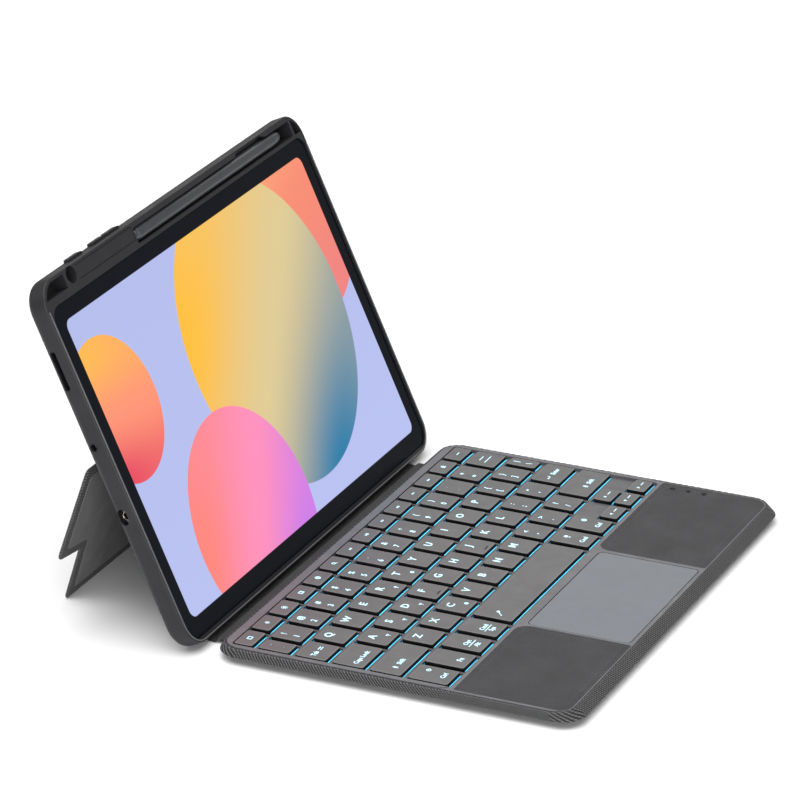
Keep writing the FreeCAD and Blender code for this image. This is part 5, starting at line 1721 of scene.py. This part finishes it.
# ---------------------------------------------------------------- back and kickstand
@dataclass
class BackAndStand(SubAssembly):
    """The cloth-covered back panel, the stepped kickstand and the cloth hinge between them."""

    shell_back: float = 8.7
    thickness: float = 1.9
    hinge_up: float = 82.4
    high: float = 151.0
    half_width: float = 115.0
    camera: tuple[float, float] = (104.0, 131.0)
    window: float = 7.6
    leg: float = 87.6
    strip: float = 11.3
    strip_half: float = 104.0
    ear: float = 30.5
    notch: float = 27.0
    foot_half: float = 91.0
    neck_half: float = 93.4
    band: float = 5.0
    board: float = 1.55

    def build(self, holder: Plane) -> None:
        """Makes the panel, then the stand in its own plane, then the hinge cloth."""
        stand = stand_plane(holder)
        self._panel(holder)
        self._board(stand)
        self._hinge(holder, stand)

    def _panel(self, holder: Plane) -> None:
        """A ruled plate between the panel's outline and the round camera window."""
        outline = rounded_outline(-self.half_width, self.half_width, self.hinge_up + 0.5, self.high,
                                  (2.0, 2.0, 8.0, 8.0), 8, 24)
        centre = np.array(self.camera)
        angle = np.arctan2(*(outline - centre).T[::-1])
        hole = centre + self.window * np.stack([np.cos(angle), np.sin(angle)], -1)
        low, high = -self.shell_back - self.thickness, -self.shell_back
        rim, lip = inset(outline, 0.5), centre + (hole - centre) * 1.06
        loops = np.stack([level(hole, high), level(hole, low + 0.25), level(lip, low), level(rim, low),
                          level(outline, low + 0.5), level(outline, high)])
        panel = Surface(holder)
        spots = np.concatenate([loops, loops[:1]])
        spots = np.concatenate([spots, spots[:, :1]], axis=1)
        uv = spots[..., :2] + spots[..., 2:]
        panel.grid(loops, tube=True, uv=uv)
        self.fit(panel.piece("back_cloth", self.finishes.twill), "holder", "twill", ("back_panel",))

    def _corners(self, move: float) -> Array:
        """The stepped outline, foot downwards from the hinge, moved inwards by an amount."""
        foot = -self.leg
        points = np.array([[-self.foot_half, foot], [self.foot_half, foot],
                           [self.neck_half, foot + self.notch], [self.half_width, foot + self.ear],
                           [self.half_width, -self.strip], [-self.half_width, -self.strip],
                           [-self.half_width, foot + self.ear], [-self.neck_half, foot + self.notch]])
        return inset(points, move)

    def _board(self, stand: Plane) -> None:
        """The stand: cloth on its outer face, turned over its edges; lining inside the turned edge."""
        radii = np.array([1.0, 1.0, 2.6, 2.6, 2.6, 2.6, 2.6, 2.6])
        edge = [rounded_polygon(self._corners(move), radii) for move in (0.0, 0.6, self.band)]
        top = self.board
        loops = np.stack([level(edge[1], 0.0), level(edge[0], 0.35), level(edge[0], top - 0.3),
                          level(edge[1], top), level(edge[2], top)])
        cloth = Surface(stand)
        cloth.stack(loops, edge=0.3, steps=3)
        self.fit(cloth.piece("stand_cloth", self.finishes.twill), "kickstand", "twill",
                 ("kickstand_panel", "kickstand_lining"))
        lining = Surface(stand)
        inner = rounded_polygon(self._corners(self.band - 0.5), radii)
        lining.slab(inner, top - 0.1, top + 0.15, 0.1)
        self.fit(lining.piece("stand_lining", self.finishes.lining), "kickstand", "lining")

    def _hinge(self, holder: Plane, stand: Plane) -> None:
        """A strip whose place turns smoothly from the panel's plane to the stand's plane."""
        along = np.linspace(-self.strip - 1.5, 3.0, 46)
        share = ease(np.clip((along + 1.6) / 3.2, 0.0, 1.0))[:, None, None]
        x = np.linspace(-self.strip_half, self.strip_half, 40)
        across = np.concatenate([x, x[::-1]])
        flat = np.empty((len(along), len(across), 3))
        flat[..., 0], flat[..., 1], flat[..., 2] = across, along[:, None], np.repeat([0.05, 0.75], 40)
        raised = flat + np.array([0.0, self.hinge_up, -self.shell_back - self.thickness])
        points = holder.place(raised) * share + stand.place(flat) * (1.0 - share)
        uv = np.stack(np.meshgrid(np.concatenate([across, across[:1]]), along), -1)
        cloth = Surface()
        cloth.hull(points, uv)
        made = cloth.piece("stand_hinge_cloth", self.finishes.fine_twill, 60.0)
        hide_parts("kickstand_strip")
        top, low = np.array([0.0, 1.6, 0.0]), np.array([0.0, -1.6, 0.0])
        lifted = top + np.array([0.0, self.hinge_up, -self.shell_back - self.thickness])
        tuple(holder.place(lifted) * MM)
        tuple(stand.place(low) * MM)
        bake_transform(made)


# ---------------------------------------------------------------- camera, floor and light
@dataclass
class Studio:
    """A pale floor, soft light from above, and the camera."""

    azimuth: float = -66.154
    elevation: float = 22.246
    roll: float = 0.497
    place: tuple[float, float, float] = (-1.7934, -0.7848, 0.8795)
    focal_length: float = 223.5

    def build(self) -> None:
        """Makes the whole set."""
        self._camera()
        self._floor()
        self._lamp("key_softbox", (-0.35, 0.1, 1.5), (0.0, 0.0, 0.05), 2.4, 2.0, 42.0)
        self._lamp("low_softbox", (-1.5, -0.75, 0.3), (0.0, 0.03, 0.06), 1.2, 0.5, 17.0)
        self._lamp("side_softbox", (1.5, 0.3, 0.9), (0.0, 0.0, 0.05), 1.2, 1.0, 5.0)
        self._world()

    def _camera(self) -> None:
        """Stands the camera at its place, turned by azimuth, elevation and roll."""
        a, e, r = radians(self.azimuth), radians(self.elevation), radians(self.roll)
        ahead = np.array([-sin(a) * cos(e), cos(a) * cos(e), -sin(e)])
        side = unit(np.cross(ahead, [0.0, 0.0, 1.0]))
        up = np.cross(side, ahead)
        right = cos(r) * side + sin(r) * up
        upward = -sin(r) * side + cos(r) * up
        lens = bpy.data.cameras.new("camera")
        lens.lens, lens.sensor_width, lens.clip_end = self.focal_length, 36.0, 50.0
        camera = bpy.data.objects.new("camera", lens)
        bpy.context.scene.collection.objects.link(camera)
        turn = Matrix(np.column_stack([right, upward, -ahead]).tolist()).to_4x4()
        camera.matrix_world = Matrix.Translation(self.place) @ turn
        bpy.context.scene.camera = camera

    @staticmethod
    def _floor() -> None:
        """A pale matt floor under everything."""
        floor = Surface()
        floor.prism(rounded_outline(-6000.0, 6000.0, -6000.0, 6000.0, 10.0, 1), -20.0, -0.02)
        paper = GrainedFinish("pale_floor", (0.9, 0.9, 0.905), grain=3.0, depth=0.0, rough=(0.8, 0.9),
                              wear=0.0, dust=0.0, specular=0.1, shade=1.0)
        made = floor.piece("floor", paper.make())

    @staticmethod
    def _lamp(name: str, place: tuple, aim: tuple, width: float, height: float, power: float) -> None:
        """A rectangular soft light that looks at a point."""
        light = bpy.data.lights.new(name, "AREA")
        light.shape, light.size, light.size_y, light.energy = "RECTANGLE", width, height, power
        lamp = bpy.data.objects.new(name, light)
        bpy.context.scene.collection.objects.link(lamp)
        back = unit(np.array(place) - np.array(aim))
        side = unit(np.cross([0.0, 0.0, 1.0], back))
        turn = Matrix(np.column_stack([side, np.cross(back, side), back]).tolist()).to_4x4()
        lamp.matrix_world = Matrix.Translation(place) @ turn

    @staticmethod
    def _world() -> None:
        """Even pale light from all round, and plain display of colours."""
        world = bpy.data.worlds.new("studio")
        world.use_nodes = True
        sky = next(n for n in world.node_tree.nodes if n.type == "BACKGROUND")
        sky.inputs["Color"].default_value = (1.0, 1.0, 1.0, 1.0)
        sky.inputs["Strength"].default_value = 0.3
        bpy.context.scene.world = world
        bpy.context.scene.view_settings.view_transform = "Standard"


def main() -> None:
    """Builds the case round its frame and reports each piece."""
    logging.basicConfig(level=logging.INFO, format="%(message)s")
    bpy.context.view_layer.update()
    finishes = Finishes()
    finishes.dress_frame(frame["nodes"])
    holder = holder_plane()
    Studio().build()
    KeyboardBase(finishes).build()
    KeySet(finishes).build()
    Spine(finishes).build(holder)
    ShellTrim(finishes).build(holder)
    Tablet(finishes).build(holder)
    Pen(finishes).build(holder)
    BackAndStand(finishes).build(holder)


if __name__ == "__main__":
    main()
